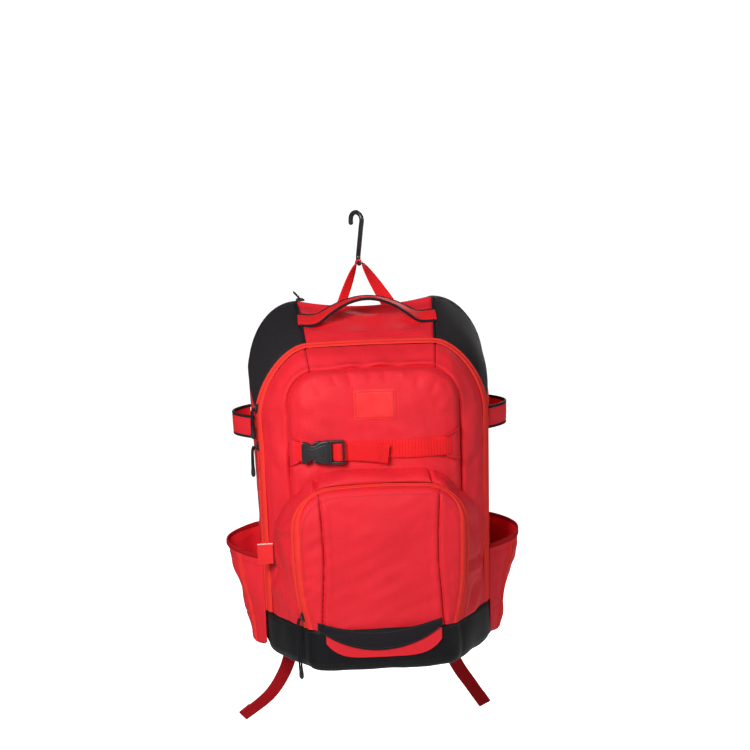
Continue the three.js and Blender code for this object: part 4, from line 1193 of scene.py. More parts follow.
def top_panel():
    """The red top: it sags at the handle's front edge and lifts just before it, with a lip at the
    back seam."""
    points = body_grid([(2, 1, crowd(66, 0.5))])
    x = points[..., 0]
    y = points[..., 1]
    sag = 1.6 * np.exp(-((y + 84) / 7) ** 2) - 1.4 * np.exp(-((y + 66) / 9) ** 2)
    points = points + grid_normals(points) * (sag * np.clip((92 - np.abs(x)) / 20, 0, 1))[..., None]
    points = edge_dip(relieved(points, 0.8, 29, 90, 30), ["first", "last", "left", "right"])
    lip = 3.4 * np.exp(-((points[..., 1] + 3) / 4.5) ** 2)
    return points + np.array([0, 0, 1.0]) * lip[..., None]


def front_band():
    """The front band, with its two upright seams at the top pressed in and the cloth above the
    pocket's seam gathered into small puffs."""
    runs = [(0, -1, np.linspace(0, 1, 90)[:-1]), (1, -1, np.linspace(0, 1, 64)[:-1]),
            (2, 1, np.linspace(0, 1, 90)), (1, 1, np.linspace(1, 0, 64)[1:]),
            (0, 1, np.linspace(1, 0, 90)[1:])]
    t = crowd(30, 0.6)
    points = arch(band_shape(t), LOW_Z, stations(runs))
    normal = grid_normals(points)
    x = points[..., 0]
    z = points[..., 2]
    share = t[:, None]
    seam_x = lerp(*BAND_SEAM, share)
    upper = np.clip((z + 235) / 12, 0, 1)
    press = -1.9 * np.exp(-((np.abs(x) - seam_x) / 1.6) ** 2) * upper
    around = np.clip((z + 250) / 60, 0, 1)
    puff = 2.3 * np.exp(-((share - 0.84) / 0.12) ** 2) * (0.6 + 0.55 * np.sin(
        x / 9.5 + 1.7 * np.sin(x / 31))) * around
    soft = np.sin(np.pi * share) ** 0.5
    broad = 1.5 * waves(points, 170, 60, 31) + 0.4 * waves(points, 50, 20, 32)
    side = folds(x, z, ((-150, -300, -122, -352, 8, -1.6), (150, -300, 122, -352, 8, -1.6),
                        (-138, -250, -128, -330, 9, 1.2), (138, -250, 128, -330, 9, 1.2)))
    move = press + puff + soft * broad + side
    points = edge_dip(points + normal * move[..., None], ["first"], depth=1.2, width=2.2)
    return edge_dip(points, ["last"], depth=4.6, width=2.2)


def lower_gusset():
    """The lower pocket's gusset: each column is the parabola through its place on the bag, a
    swollen middle and the zip."""
    places = whole_arch(110, 64, 70)
    rim = arch(RIM_RING, LOW_Z, places)[0]
    rim[:, 1] = front_depth(rim[:, 0], rim[:, 2]) + 0.4
    zip_edge = arch(LOWER_RING, LOW_Z, places)[0]
    middle = lerp(rim, zip_edge, 0.55) + np.array([0, -9, 0])
    t = crowd(40, 0.5)[:, None, None]
    first = (t - 0.55) * (t - 1) / 0.55
    second = t * (t - 1) / (0.55 * -0.45)
    third = t * (t - 0.55) / 0.45
    points = first * rim + second * middle + third * zip_edge
    x = points[..., 0]
    z = points[..., 2]
    soft = np.sin(np.pi * t[..., 0]) ** 0.5
    move = 2.1 * folds(x, z, GUSSET_FOLDS) * np.minimum(1, 2 * soft)
    move = move + soft * (1.3 * waves(points, 120, 50, 41) + 0.4 * waves(points, 45, 18, 42))
    points = points + grid_normals(points) * move[..., None]
    return edge_dip(points, ["first", "last"], depth=1.6)


def upper_pocket():
    x, z = face_grid(SEAM_RING, UPPER_LOW_Z, 44, 90, 150)
    return np.stack([x, upper_face(x, z), z], axis=-1)


def lower_pocket():
    x, z = face_grid(LOWER_TAPE_RING, LOW_Z, 44, 84, 150)
    return np.stack([x, lower_face(x, z), z], axis=-1)


def zip_grid(rings, rows=23, roll=1.1):
    """A zip's tapes: a curve through three lines across, rolled up into two soft ribs with the
    groove of the chain between them."""
    outer, middle, inner = rings
    t = np.linspace(0, 1, rows)[:, None, None]
    points = (1 - t) ** 2 * outer + 2 * t * (1 - t) * middle + t ** 2 * inner
    s = np.abs(2 * t[..., 0] - 1)
    rib = np.sqrt(np.clip(1 - ((s - 0.55) / 0.42) ** 2, 0, 1))
    size = np.linalg.norm(outer - inner, axis=1)
    roll = roll * np.clip(size / 9, 0.5, 1.6)[None, :]
    return points + grid_normals(points) * (rib * roll + 0.15)[..., None]


def chain(rings, pitch=1.5, reach=1.5):
    """The chain in the groove: low bars across it, set alternately to both sides."""
    outer, middle, inner = rings
    line = 0.25 * outer + 0.5 * middle + 0.25 * inner
    normal = grid_normals(np.stack([outer, line, inner]))[1]
    length = lengths_along(line)
    count = int(length[-1] / pitch)
    at = (np.arange(count) + 0.5) * pitch
    out = unit(read_at(at, length, normal))
    way = unit(read_at(at, length, np.gradient(line, axis=0)))
    side = np.cross(way, out)
    shift = np.where(np.arange(count) % 2 == 0, 0.35, -0.35)[:, None]
    centre = read_at(at, length, line) + side * shift + out * 0.35
    angle = np.linspace(0, 2 * np.pi, 6, endpoint=False)
    bars = []
    for across, size in ((-1, 0.35), (-0.7, 1), (0.7, 1), (1, 0.35)):
        ring = (way[:, None] * np.cos(angle)[None, :, None]
                + out[:, None] * np.sin(angle)[None, :, None]) * (0.62 * size)
        bars.append((centre + side * (across * reach))[:, None] + ring)
    return spindles(np.stack(bars, axis=1), True)


def main_zip_rings():
    """The main zip's three lines. It is turned edge on over the top, so it narrows there."""
    places = whole_arch(150, 90, 90)
    a = arch(ZIP_RING, LOW_Z, places)[0]
    b = arch(TAPE_RING, LOW_Z, places)[0]
    over = np.clip((a[:, 2:] + 290) / 120, 0, 1)
    outer = lerp(arch(body_shape(np.array([0.965])), LOW_Z, places)[0], a, over)
    inner = lerp(arch(band_shape(np.array([0.14])), LOW_Z, places)[0],
                 arch(band_shape(np.array([0.01])), LOW_Z, places)[0], over)
    middle = 0.5 * (a + b)
    return outer, 2 * middle - 0.5 * (outer + inner), inner


def lower_zip_rings():
    """The lower pocket's zip: narrow over the arch, and spread flat at the sides."""
    places = whole_arch(130, 70, 80)
    wide_ring = dict(LOWER_RING, half=119, drop=343, low_half=106, y=LOWER_ZIP_Y + 5)
    near_ring = dict(LOWER_TAPE_RING, half=108, drop=348, low_half=95)
    a, b, wide, near = (arch(ring, LOW_Z, places)[0]
                        for ring in (LOWER_RING, LOWER_TAPE_RING, wide_ring, near_ring))
    near[:, 1] = lower_face(near[:, 0], near[:, 2]) - 0.3
    over = np.clip((a[:, 2:] + 400) / 44, 0, 1) * 0.9
    outer = lerp(wide, a, over)
    inner = lerp(near, b, over)
    return outer, a + b - 0.5 * (outer + inner), inner


def zip_parts(rings):
    """Both tapes of a zip, with a thickness."""
    return shell(zip_grid(rings), 0.8)


# Base

def plan_line(count=70):
    """The base's outline seen from above, from the back corner on the left to the middle of the
    front: a smooth line through the feet of the panels that stand on it."""
    knots = [(-155, REAR_TAPE), (-155, 0), (-156, -30), (-157, -60), (-155, -100), (-152.5, -108),
             (-148, -119), (-124, -165), (-104, -196), (-101.5, -202), (-94.4, -208.7),
             (-79, -213.8), (-50, -217), (0, -218)]
    return path_through([(x, y, 0) for x, y in knots], count)


BASE_PLAN = plan_line()


def base_depth(x, z=None):
    """Depth of the base's front at a place across, drawn in at its rounded foot."""
    front = BASE_PLAN[BASE_PLAN[:, 1] < -100]
    y = np.interp(-np.abs(x), front[:, 0], front[:, 1])
    if z is None:
        return y
    foot = np.clip((BOTTOM_Z + FOOT_ROUND - z) / FOOT_ROUND, 0, 1)
    belly = 1.3 * np.sin(np.pi * np.clip((LOW_Z - z) / 60, 0, 1))
    return y - belly + FOOT_ROUND * (1 - np.sqrt(1 - foot ** 2))


def base_grid():
    """The coated base: its plan carried down a full wall, round the foot and in to the middle."""
    half = BASE_PLAN
    mirrored = half[::-1][1:] * np.array([-1, 1, 1])
    back = np.stack([np.linspace(155, -155, 42)[1:-1], np.full(40, float(REAR_TAPE)),
                     np.zeros(40)], axis=1)
    plan = np.vstack([half, mirrored, back])
    middle = np.array([0, (REAR_TAPE + POCKET_Y) / 2, 0])
    arm = plan - middle
    reach = np.linalg.norm(arm, axis=1)
    side_seam = np.exp(-((np.abs(plan[:, 0]) - 107) / 1.6) ** 2) * (plan[:, 1] < -120)
    rows = []
    straight = np.linspace(LOW_Z - 0.2, BOTTOM_Z + FOOT_ROUND, 22)
    for z in straight:
        belly = 1.3 * np.sin(np.pi * (LOW_Z - z) / 60)
        top_tuck = -1.4 * np.exp(-((LOW_Z - z) / 2.5) ** 2)
        size = 1 + (belly + top_tuck - 1.3 * side_seam) / reach
        rows.append(middle + arm * size[:, None] + np.array([0, 0, z]))
    for angle in np.linspace(0, np.pi / 2, 9)[1:]:
        inset = FOOT_ROUND * (1 - np.cos(angle))
        size = 1 + (-inset - 1.3 * side_seam * np.cos(angle)) / reach
        z = BOTTOM_Z + FOOT_ROUND * (1 - np.sin(angle))
        rows.append(middle + arm * size[:, None] + np.array([0, 0, z]))
    for share in (0.75, 0.45, 0.2, 0.0):
        size = (1 - FOOT_ROUND / reach) * share
        rows.append(middle + arm * size[:, None] + np.array([0, 0, BOTTOM_Z]))
    points = np.array(rows)
    field = waves(points, 110, 35, 51) * 0.8
    fade = np.ones(len(rows))
    fade[:4] = (0, 0.3, 0.6, 0.9)
    fade[-4:] = (0.3, 0.1, 0, 0)
    normal = grid_normals(points, loop=True)
    normal[-4:] = (0, 0, -1)
    field[-12:] = np.minimum(field[-12:], 0.2)
    return points + normal * (field * fade[:, None])[..., None]


def patch_grid(x, z, depth, lift):
    """A cloth patch on the bag's front: its depth is the face's, less the lift."""
    return np.stack([x, depth - lift, z], axis=-1)


def smile_edges(x):
    """The upper and the lower edge of the base's curved band: a parabola, and a line below it
    that comes nearer to it towards the ends."""
    rise = 1 - ((x + 5) / 84) ** 2
    top = LOW_Z + 12 - 14 * rise
    return top, top - 11 - 15.5 * np.clip(rise, 0, 1) ** 0.85


def low_front(x, z):
    """Depth of whatever is in front, low on the bag: the pocket's face above the base's rim."""
    pocket = lower_face(x, np.maximum(z, LOW_Z + 1))
    share = np.clip((z - LOW_Z + 3) / 6, 0, 1)
    return lerp(base_depth(x, z) - 0.6, np.minimum(pocket, base_depth(x) - 0.2), share)


def smile_band():
    """The curved band on the base: each column hangs between two parabolas, and its surface is
    a little full between its bound edges."""
    x = np.broadcast_to(np.linspace(-89, 79, 90)[None, :], (20, 90))
    top, low = smile_edges(x)
    share = crowd(20, 0.6)[:, None]
    z = lerp(top, low, share)
    full = 0.9 * np.sin(np.pi * share) ** 0.5
    return patch_grid(x, z, low_front(x, z), 3.2 + full)


def base_inset():
    """The red panel behind the band: straight at the top, with its lower corners rounded."""
    x = np.broadcast_to(np.linspace(-78, 78, 80)[None, :], (16, 80))
    reach = 1 - np.abs(x / 78) ** 5
    share = crowd(16, 0.5)[:, None]
    z = lerp(LOW_Z - 3, LOW_Z - 4 - lerp(14, 34.5, reach), share)
    return patch_grid(x, z, low_front(x, z), 1.6)


# Pockets and straps at the sides

def pocket_grid(hand, rows=46, columns=64):
    """A bat pocket: the side wall plus a swell that is a sine round the pocket, full at the rim
    and drawn in at the foot."""
    across = crowd(columns, 0.75)[None, :]
    down = np.linspace(0, 1, rows)[:, None] ** 0.92
    y = lerp(-4, -101, across) + 0 * down
    rim = -448 + 12 * (1 - 2 * across)
    foot = BOTTOM_Z + 9 + 6 * np.exp(-((y + 101) / 12) ** 2)
    z = lerp(rim, foot, np.minimum(down / 0.94, 1)) - 2.5 * np.clip((down - 0.94) / 0.06, 0, 1)
    swell = table(down, (0, 0.14, 0.28, 0.45, 0.66, 0.84, 0.93, 0.955, 1),
                  (1, 0.92, 0.8, 0.67, 0.54, 0.42, 0.36, 0.33, 0.02))
    lift = 2.4 + 44 * swell * np.sin(np.pi * across) ** 0.8
    x = hand * (wall_half(y, np.maximum(z, LOW_Z)) + lift)
    points = np.stack([x, y, z], axis=-1)
    seam = -1.3 * np.exp(-((z + 549) / 2) ** 2)
    hem = -0.9 * np.exp(-((z - rim + 13) / 1.6) ** 2) + 0.7 * np.exp(-((z - rim + 1) / 2) ** 2)
    fade = np.sin(np.pi * across) ** 0.6
    slack = folds(y, z, ((-80, -500, -30, -470, 7, 2.0), (-90, -530, -50, -515, 6, -1.6),
                         (-20, -520, -60, -560, 7, 1.5), (-70, -575, -40, -545, 6, 1.2)))
    move = seam + hem + fade * (1.2 * waves(points, 90, 35, 61 + hand) + slack)
    return points + grid_normals(points, hand > 0) * (move * np.clip(fade * 3, 0, 1))[..., None]


def pocket_zip_rings(hand):
    """The pocket's zip: three upright lines on its swell, read from the pocket's own grid."""
    points = pocket_grid(hand)
    columns = run_lengths(points, 1)
    at = 0.735 * columns[-1]
    lines = []
    for shift in (-4.2, 0, 4.2):
        line, normal = column_at(points, at + shift * hand * -1, flip=hand > 0)
        lines.append((line + normal * (0.3 if shift else 0.9))[1:-3])
    return lines


def bat_strap_grid(hand, wide=28, rows=12, columns=60):
    """A band that holds a bat: the side wall plus a sine's arc over it."""
    across = crowd(columns, 0.6)[None, :]
    down = crowd(rows, 0.5)[:, None]
    y = lerp(-4, -93, across) + 0 * down
    z = -264 - wide * down + 0 * across
    lift = 2.2 + 24 * np.sin(np.pi * across) ** 0.8 + 0.8 * np.sin(np.pi * down) ** 0.6
    x = hand * (wall_half(y, z) + lift)
    return np.stack([x, y, z], axis=-1)


# Handle and loop

def handle_line(y, count=120):
    """The handle's line at one depth: it lies on the top at its feet, and between them it comes
    down from its crown by the power 1.9 of the share of the way. Running means ease the bends."""
    x = np.linspace(-96, 96, count)
    skin = top_height(x, np.full(count, float(y)))
    share = np.minimum(np.abs(x) / HANDLE_REACH, 1)
    foot = top_height(np.array([HANDLE_REACH]), np.array([float(y)]))[0]
    lifted = lerp(-110.5, foot, share ** 1.9)
    z = np.where(np.abs(x) < HANDLE_REACH, np.maximum(lifted, skin), skin) + 1.4
    ends = np.pad(z, 8, mode="edge")
    for _ in range(3):
        ends = np.convolve(ends, np.ones(9) / 9, mode="same")
        ends[:8] = z[0]
        ends[-8:] = z[-1]
    z = np.maximum(ends[8:-8], skin + 1.2)
    return np.stack([x, np.full(count, float(y)), z], axis=-1)


def handle_grid(rows=16, crown=0.9):
    """The handle's strip between its two bindings, a little full in the middle."""
    share = np.linspace(0, 1, rows)
    grid = np.array([handle_line(lerp(-39, -65, s)) for s in share])
    return grid + UP * (crown * np.sin(np.pi * share) ** 0.5)[:, None, None]


def hang_loop():
    """Webbing from the top seam over the hook and back: two straight legs that turn edge on as
    they rise, the left one narrower, and a half turn over the wire."""
    apex = np.array([1.5 - BAG_X, -4, -68])
    turn = HOOK_WIRE + GAP + 0.9
    foot_z = -127.0
    share = np.linspace(0, 1, 22)[:-1]
    left = np.stack([lerp(-33, apex[0] - turn, share), lerp(4, apex[1], share),
                     lerp(foot_z, apex[2], share)], axis=1)
    angle = np.pi * (1 - np.linspace(0, 1, 13))
    over = np.stack([apex[0] + turn * np.cos(angle), np.full(13, apex[1]),
                     apex[2] + turn * np.sin(angle)], axis=1)
    right = np.stack([lerp(34, apex[0] + turn, share), lerp(4, apex[1], share),
                      lerp(foot_z, apex[2], share)], axis=1)[::-1]
    centres = np.vstack([left, over, right])
    open_share = np.concatenate([1 - share, np.zeros(13), (1 - share)[::-1]])
    twist = -1.38 * open_share ** 0.45
    pinch = lerp(0.6, 1, open_share ** 0.5)
    wide = np.stack([-np.sin(twist) * pinch, np.cos(twist) * pinch, 0 * twist], axis=1)
    left_narrow = np.concatenate([lerp(0.66, 1, share), np.ones(34)])
    return ribbon(centres, wide * left_narrow[:, None], 20, 1.8)


def hook_path():
    """The hook's wire: a half turn over the rail, a leaning shank and a seat for the loop."""
    turn = np.radians(44)
    bend_z = HOOK_WIRE - HOOK_BEND
    arm = np.array([np.cos(turn), -np.sin(turn)])

    def reach(distance, z):
        return (*(arm * distance), z)
    points = [reach(-HOOK_BEND, -15)]
    for angle in np.pi * (1 - np.arange(7) / 6):
        points.append(reach(HOOK_BEND * np.cos(angle), bend_z + HOOK_BEND * np.sin(angle)))
    shank = np.array(points[-1])
    foot = np.array([1.9, 9.5, -58.0])
    points += [tuple(lerp(shank, foot, s)) for s in (0.2, 0.5, 0.8, 1)]
    seat = [(8.4, -63.5), (3.5, -67.6), (-4, -68), (-12, -67.4), (-19, -65.5)]
    points += [(1.5, y, z) for y, z in seat]
    return path_through(points, 150)


def capped_tube(centres, radius, sides, round_over):
    """A tube whose ends round over: near each end its radius follows a quarter circle."""
    length = lengths_along(centres)
    left = np.minimum(length, length[-1] - length)
    share = np.clip(left / round_over, 0, 1)
    size = np.sqrt(np.clip(1 - (1 - share) ** 2, 0.02, 1))[:, None]
    _, side, up = frames_along(centres, (0.2, 0.9, 0.1))
    return sweep(centres, side * size, up * size, circle(radius, sides), flip=True)


# Front strap and its buckle

def strap_depth(x, reach=12.5, margin=0.0):
    """How far forward a taut strap lies over a place across: the most forward cloth under its
    width, then evened out so that it bridges hollows."""
    at = np.linspace(-118, 118, 160)
    zs = np.linspace(-STRAP_DROP - reach, -STRAP_DROP + reach, 5)
    under = np.min([front_depth(at, np.full(160, z)) for z in zs], axis=0)
    smooth = under.copy()
    for _ in range(30):
        smooth[1:-1] = np.minimum(under[1:-1], (smooth[:-2] + smooth[2:]) / 2)
    return np.interp(x, at, smooth) - margin


def strap_run(x0, x1, drop=0.0, lift=1.4, count=60, sag=0.0):
    """The line of the front strap from one place across to another, over the cloth under it."""
    x = np.linspace(x0, x1, count)
    share = (x - x0) / (x1 - x0)
    z = -STRAP_DROP - drop * share - sag * np.sin(np.pi * share)
    return np.stack([x, strap_depth(x) - lift, z], axis=-1)


def free_end_run():
    """The line of the strap's free end, which lifts off the strap by a parabola."""
    run = strap_run(-42, 16, drop=6, lift=3.5, sag=-0.5)
    run[:, 1] -= 2.2 * np.linspace(0, 1, len(run)) ** 2
    return run


def flat_strap(centres, width=25.0, thick=None):
    """Webbing that stands upright on the bag's front."""
    thick = sizes().webbing if thick is None else thick
    return ribbon(centres, everywhere(UP, centres), width, thick)


def wing(hand):
    """The folded cloth that holds the strap: wide at the seam and drawn in to the webbing, with
    a thick folded edge above and below."""
    near = 116.5
    far = 96 if hand > 0 else 104
    across = np.linspace(0, 1, 26)[None, :]
    share = crowd(26, 0.6)[:, None]
    half = lerp(23.5, 14.5, across ** 0.8)
    x = hand * lerp(near, far, across) + 0 * share
    z = -STRAP_DROP + half * (1 - 2 * share)
    under = front_depth(x, z)
    taut = strap_depth(np.abs(x) * hand, margin=0.6) + 0 * share
    depth = lerp(under, np.minimum(under, taut), np.clip(across * 1.6, 0, 1))
    edge = np.exp(-(((1 - np.abs(1 - 2 * share)) * half) / 2.2) ** 2)
    crease = np.exp(-(((1 - np.abs(1 - 2 * share)) * half - 4.6) / 1.5) ** 2)
    lift = 1.3 + 2.9 * edge - 0.6 * crease + 0.6 * np.exp(-((1 - across) / 0.08) ** 2)
    points = np.stack([x, depth - lift, z], axis=-1)
    return points if hand < 0 else points[:, ::-1]


BUCKLE_FROM = -100.0
BUCKLE_LONG = 59.0


def buckle_place(points):
    """Moves a moulded piece from its own frame, x along and y out of the cloth, to the strap."""
    x0 = BUCKLE_FROM
    x1 = BUCKLE_FROM + BUCKLE_LONG
    y0 = strap_depth(np.array([x0]))[0]
    y1 = strap_depth(np.array([x1]))[0]
    middle = strap_depth(np.linspace(x0, x1, 9))
    line = lerp(y0, y1, np.linspace(0, 1, 9))
    base = np.min(middle - line) - 0.6
    turn = np.arctan2(y1 - y0, x1 - x0)
    moved = np.empty_like(points)
    moved[..., 0] = x0 + points[..., 0] * np.cos(turn) + points[..., 1] * np.sin(turn)
    moved[..., 1] = y0 + base + points[..., 0] * np.sin(turn) - points[..., 1] * np.cos(turn)
    moved[..., 2] = -STRAP_DROP + points[..., 2]
    return moved


def smooth_outline(corners, count, loops=2):
    """A closed outline with its corners cut, once for each loop, then taken at even steps."""
    line = np.array(corners, float)
    for _ in range(loops):
        ahead = np.roll(line, -1, axis=0)
        line = np.stack([0.8 * line + 0.2 * ahead, 0.2 * line + 0.8 * ahead], axis=1).reshape(-1, 2)
    closed = np.vstack([line, line[:1]])
    length = lengths_along(closed)
    return read_at(np.linspace(0, length[-1], count, endpoint=False), length, closed)


def plate_levels(low, high, round_over):
    """Heights of a moulded plate with the edges rounded over by a quarter circle."""
    turn = np.linspace(0, np.pi / 2, 5)
    start = [(round_over * (1 - np.sin(a)), low + round_over * (1 - np.cos(a))) for a in turn]
    end = [(round_over * (1 - np.sin(a)), high - round_over * (1 - np.cos(a))) for a in turn[::-1]]
    return start + end


def mirrored(upper):
    """A closed outline from its upper half."""
    return upper + [(x, -z) for x, z in upper[::-1]]


def bar(x0, x1, z0, z1, low, high, round_over=0.8, place=buckle_place):
    """A straight bar of a moulded fitting, with its edges rounded over."""
    outline = smooth_outline([(x0, z0), (x1, z0), (x1, z1), (x0, z1)], 28)
    return slab(outline, plate_levels(low, high, round_over), place)


def buckle_parts():
    """The side-release buckle. The socket is waisted, with its mouth open towards the latch, and
    the latch's arms show in both waists; the latch ends in a frame of bars for the webbing."""
    socket = smooth_outline(mirrored([
        (0.5, 14.2), (4, 14.8), (9.5, 12.6), (13.5, 9.9), (17.5, 9.6), (21, 11.6), (25, 14.4),
        (31, 15.9), (38.5, 16.2)]), 110)
    ridge = smooth_outline(mirrored([
        (8, 7.2), (14, 5.6), (19, 5.8), (25, 8.6), (32, 10.6), (36, 10.8)]), 80)
    parts = [slab(socket, plate_levels(0.6, 9.6, 1.4), buckle_place),
             slab(ridge, plate_levels(9.2, 10.3, 0.5), buckle_place),
             bar(1.2, 3.6, -13, 13, 9.2, 10.2, 0.4)]
    parts += [bar(x, x + 1.1, -6.5, 6.5, 9.9, 10.7, 0.3) for x in (26.5, 29.1, 31.7)]
    arm = [(15, 10.6), (20, 10.2), (24, 12.8), (27, 15.4), (23, 15.8), (18.5, 14.4), (15.5, 13)]
    for side in (1, -1):
        outline = smooth_outline([(x, side * z) for x, z in arm], 50)
        parts.append(slab(outline, plate_levels(2.0, 7.6, 0.9), buckle_place))
    return parts


def latch_parts():
    """The latch's own frame: two rails, three bars between them and the roots of its arms."""
    parts = [bar(38.2, 58.0, 13.0, 16.5, 0.8, 7.6), bar(38.2, 58.0, -16.5, -13.0, 0.8, 7.6),
             bar(37.4, 41.4, -15.4, 15.4, 0.8, 8.4, 1.0), bar(48.6, 52.0, -14, 14, 0.8, 5.6, 1.2),
             bar(55.4, 58.4, -15.6, 15.6, 0.8, 7.2, 0.9)]
    for side in (1, -1):
        parts.append(bar(33, 39.5, side * 15.2 - 1.4, side * 15.2 + 1.4, 1.6, 7.2, 0.8))
    return parts


def webbing_in_buckle():
    """Where the strap shows in the buckle: over the left end, and through the latch's bars."""
    runs = (((-6, 2.5), (2, 4.5), (7, 3.5)),
            ((40.5, 2), (45, 3.4), (50.3, 6.6), (55, 5.2), (60, 1.5)))
    return [flat_strap(buckle_place(path_through([(a, b, 0) for a, b in run], 30)), 24.6)
            for run in runs]


# Back: padded panel, shoulder straps and their webbing

def back_ring(x, z):
    ring = dict(BACK_RING, round_reach=97)
    return face_inward(x, z, ring, BOTTOM_Z + FOOT_ROUND)


def back_height(x, z):
    """How far the padded back stands out: it rises quickly at the edge, and sewn channels part
    it into pads: two upright, and three across."""
    inward, reach = back_ring(x, z)
    rise = lerp(0.4, 1, table(inward, FACE_INWARD, FACE_RISE))
    upright = np.abs(np.abs(x) - 52) + 400 * (z > -150)
    channel = 5.6 * np.exp(-(upright / 6.5) ** 2)
    for level in (-300, -420, -190):
        channel = channel + 5.0 * np.exp(-((z - level) / 6.0) ** 2)
    channel = np.minimum(channel, 6) * np.clip((reach - 6) / 14, 0, 1)
    rolled = 2.2 * np.exp(-((reach - 5) / 4) ** 2) - 2.4 * np.exp(-((reach - 11) / 2) ** 2)
    p = np.stack([x, 0 * x, z], -1)
    relief = 0.6 * waves(p, 90, 30, 71) * np.clip(reach / 20, 0, 1)
    return REAR_TAPE + rise * (PAD_THICK + 1.5) - channel + rolled + relief


def back_panel():
    x, z = face_grid(BACK_RING, BOTTOM_Z + FOOT_ROUND, 60, 120, 160)
    return np.stack([x, back_height(x, z), z], axis=-1)


PAD_HEAD_Z = -168
PAD_FOOT_Z = -478
PAD_FOOT_X = 104
PAD_OUT = 44
FILL_FRAMES = 20
TAIL_LONG = 245
PAD_ALONG = (0, 0.07, 0.2, 0.4, 0.6, 0.8, 1)
PAD_SPREAD = (0, 0.02, 0.16, 0.52, 0.84, 0.98, 1)
PAD_BACK = (0, 0.5, 0.9, 1, 0.86, 0.6, 0.42)
PAD_WIDE = (1, 1, 1, 1, 0.94, 0.78, 40 / 66)


def pad_line(hand, count=90):
    """The middle line of a shoulder strap, from the yoke to the ladder lock, and its widths."""
    knots = np.stack([hand * lerp(46, PAD_FOOT_X, np.array(PAD_SPREAD)),
                      PAD_OUT * np.array(PAD_BACK),
                      lerp(PAD_HEAD_Z, PAD_FOOT_Z, np.array(PAD_ALONG))], axis=1)
    centres = path_through(knots, count)
    share = (centres[:, 2] - PAD_HEAD_Z) / (PAD_FOOT_Z - PAD_HEAD_Z)
    return centres + np.array([0, pad_seat(), 0]), 66 * table(share, PAD_ALONG, PAD_WIDE)


def pad_seat():
    """How far back the straps start: the frame's own strap says it."""
    low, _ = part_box("shoulder_strap_left")
    return low[1] / MM + 6.3


def pad_grid(hand, deep=10.6, sides=28):
    """A padded strap before it is filled: a flat rounded section round the middle line."""
    centres, wides = pad_line(hand)
    tangent = unit(np.gradient(centres, axis=0))
    wide = unit(np.array([1.0, 0, 0]) - tangent * tangent[:, :1])
    out = np.cross(wide, tangent)
    out = out * np.sign(out[:, 1:2])
    angle = np.linspace(0, 2 * np.pi, sides, endpoint=False)
    a = np.sign(np.cos(angle)) * np.abs(np.cos(angle)) ** 0.55
    b = np.sign(np.sin(angle)) * np.abs(np.sin(angle)) ** 0.75
    thick = np.full(len(centres), deep) * lerp(0.55, 1, np.clip(np.arange(len(centres)) / 9, 0, 1))
    thick[-6:] *= np.linspace(1, 0.6, 6)
    points = (centres[:, None] + (a[None, :] * (wides / 2 - 0.6)[:, None])[..., None] * wide[:, None]
              + (b[None, :] * (thick / 2)[:, None])[..., None] * out[:, None])
    return points


def pad_edges(hand):
    """The binding along both edges of a shoulder strap: the widest points of its section, each
    side a flat tube a little prouder than the padding."""
    points = pad_grid(hand)
    middle = points.mean(axis=1)
    edges = []
    for column in (0, points.shape[1] // 2):
        line = points[:, column]
        out = unit(line - middle)
        tangent = unit(np.gradient(line, axis=0))
        edges.append(sweep(line - out * 1.2, unit(np.cross(tangent, out)), out,
                           round_outline(6.4, 4.6)))
    return edges


def apply_modifier(piece, kind, **values):
    """Adds a modifier with its values to the active piece, and applies it."""
    modifier = piece.modifiers.new(kind.title(), kind)
    for name, value in values.items():
        setattr(modifier, name, value)
    bpy.ops.object.modifier_apply(modifier=modifier.name)


def fill_pad(piece, voxel=0.004, pressure=4.0):
    """Fills a closed pad: voxel remesh and smoothing, then cloth under pressure for 20 frames
    without gravity, in which no point moves further than the filling's limit. Smoothing and one
    subdivision finish it."""
    scene = bpy.context.scene
    bpy.context.view_layer.objects.active = piece
    for other in bpy.context.selected_objects:
        other.select_set(False)
    piece.select_set(True)
    apply_modifier(piece, "REMESH", mode="VOXEL", voxel_size=voxel)
    apply_modifier(piece, "SMOOTH", factor=0.5, iterations=6)
    mesh = piece.data
    start = np.empty(len(mesh.vertices) * 3)
    mesh.vertices.foreach_get("co", start)
    cloth = piece.modifiers.new("Cloth", "CLOTH")
    cloth.settings.quality = 5
    cloth.settings.mass = 0.2
    cloth.settings.tension_stiffness = 20
    cloth.settings.compression_stiffness = 20
    cloth.settings.use_pressure = True
    cloth.settings.uniform_pressure_force = pressure
    cloth.settings.effector_weights.gravity = 0
    cloth.point_cache.frame_start = 1
    cloth.point_cache.frame_end = FILL_FRAMES
    for step in range(1, FILL_FRAMES + 1):
        scene.frame_set(step)
    filled = piece.evaluated_get(bpy.context.evaluated_depsgraph_get()).data
    end = np.empty(len(filled.vertices) * 3)
    filled.vertices.foreach_get("co", end)
    piece.modifiers.remove(cloth)
    scene.frame_set(1)
    move = (end - start).reshape(-1, 3)
    size = np.linalg.norm(move, axis=1, keepdims=True)
    move = move * np.minimum(1, sizes().puff / np.maximum(size, 1e-9))
    mesh.vertices.foreach_set("co", (start.reshape(-1, 3) + move).reshape(-1))
    apply_modifier(piece, "SMOOTH", factor=0.5, iterations=3)
    apply_modifier(piece, "SUBSURF", levels=1, render_levels=1)
    mesh.polygons.foreach_set("use_smooth", np.ones(len(mesh.polygons), bool))
    mesh.update()


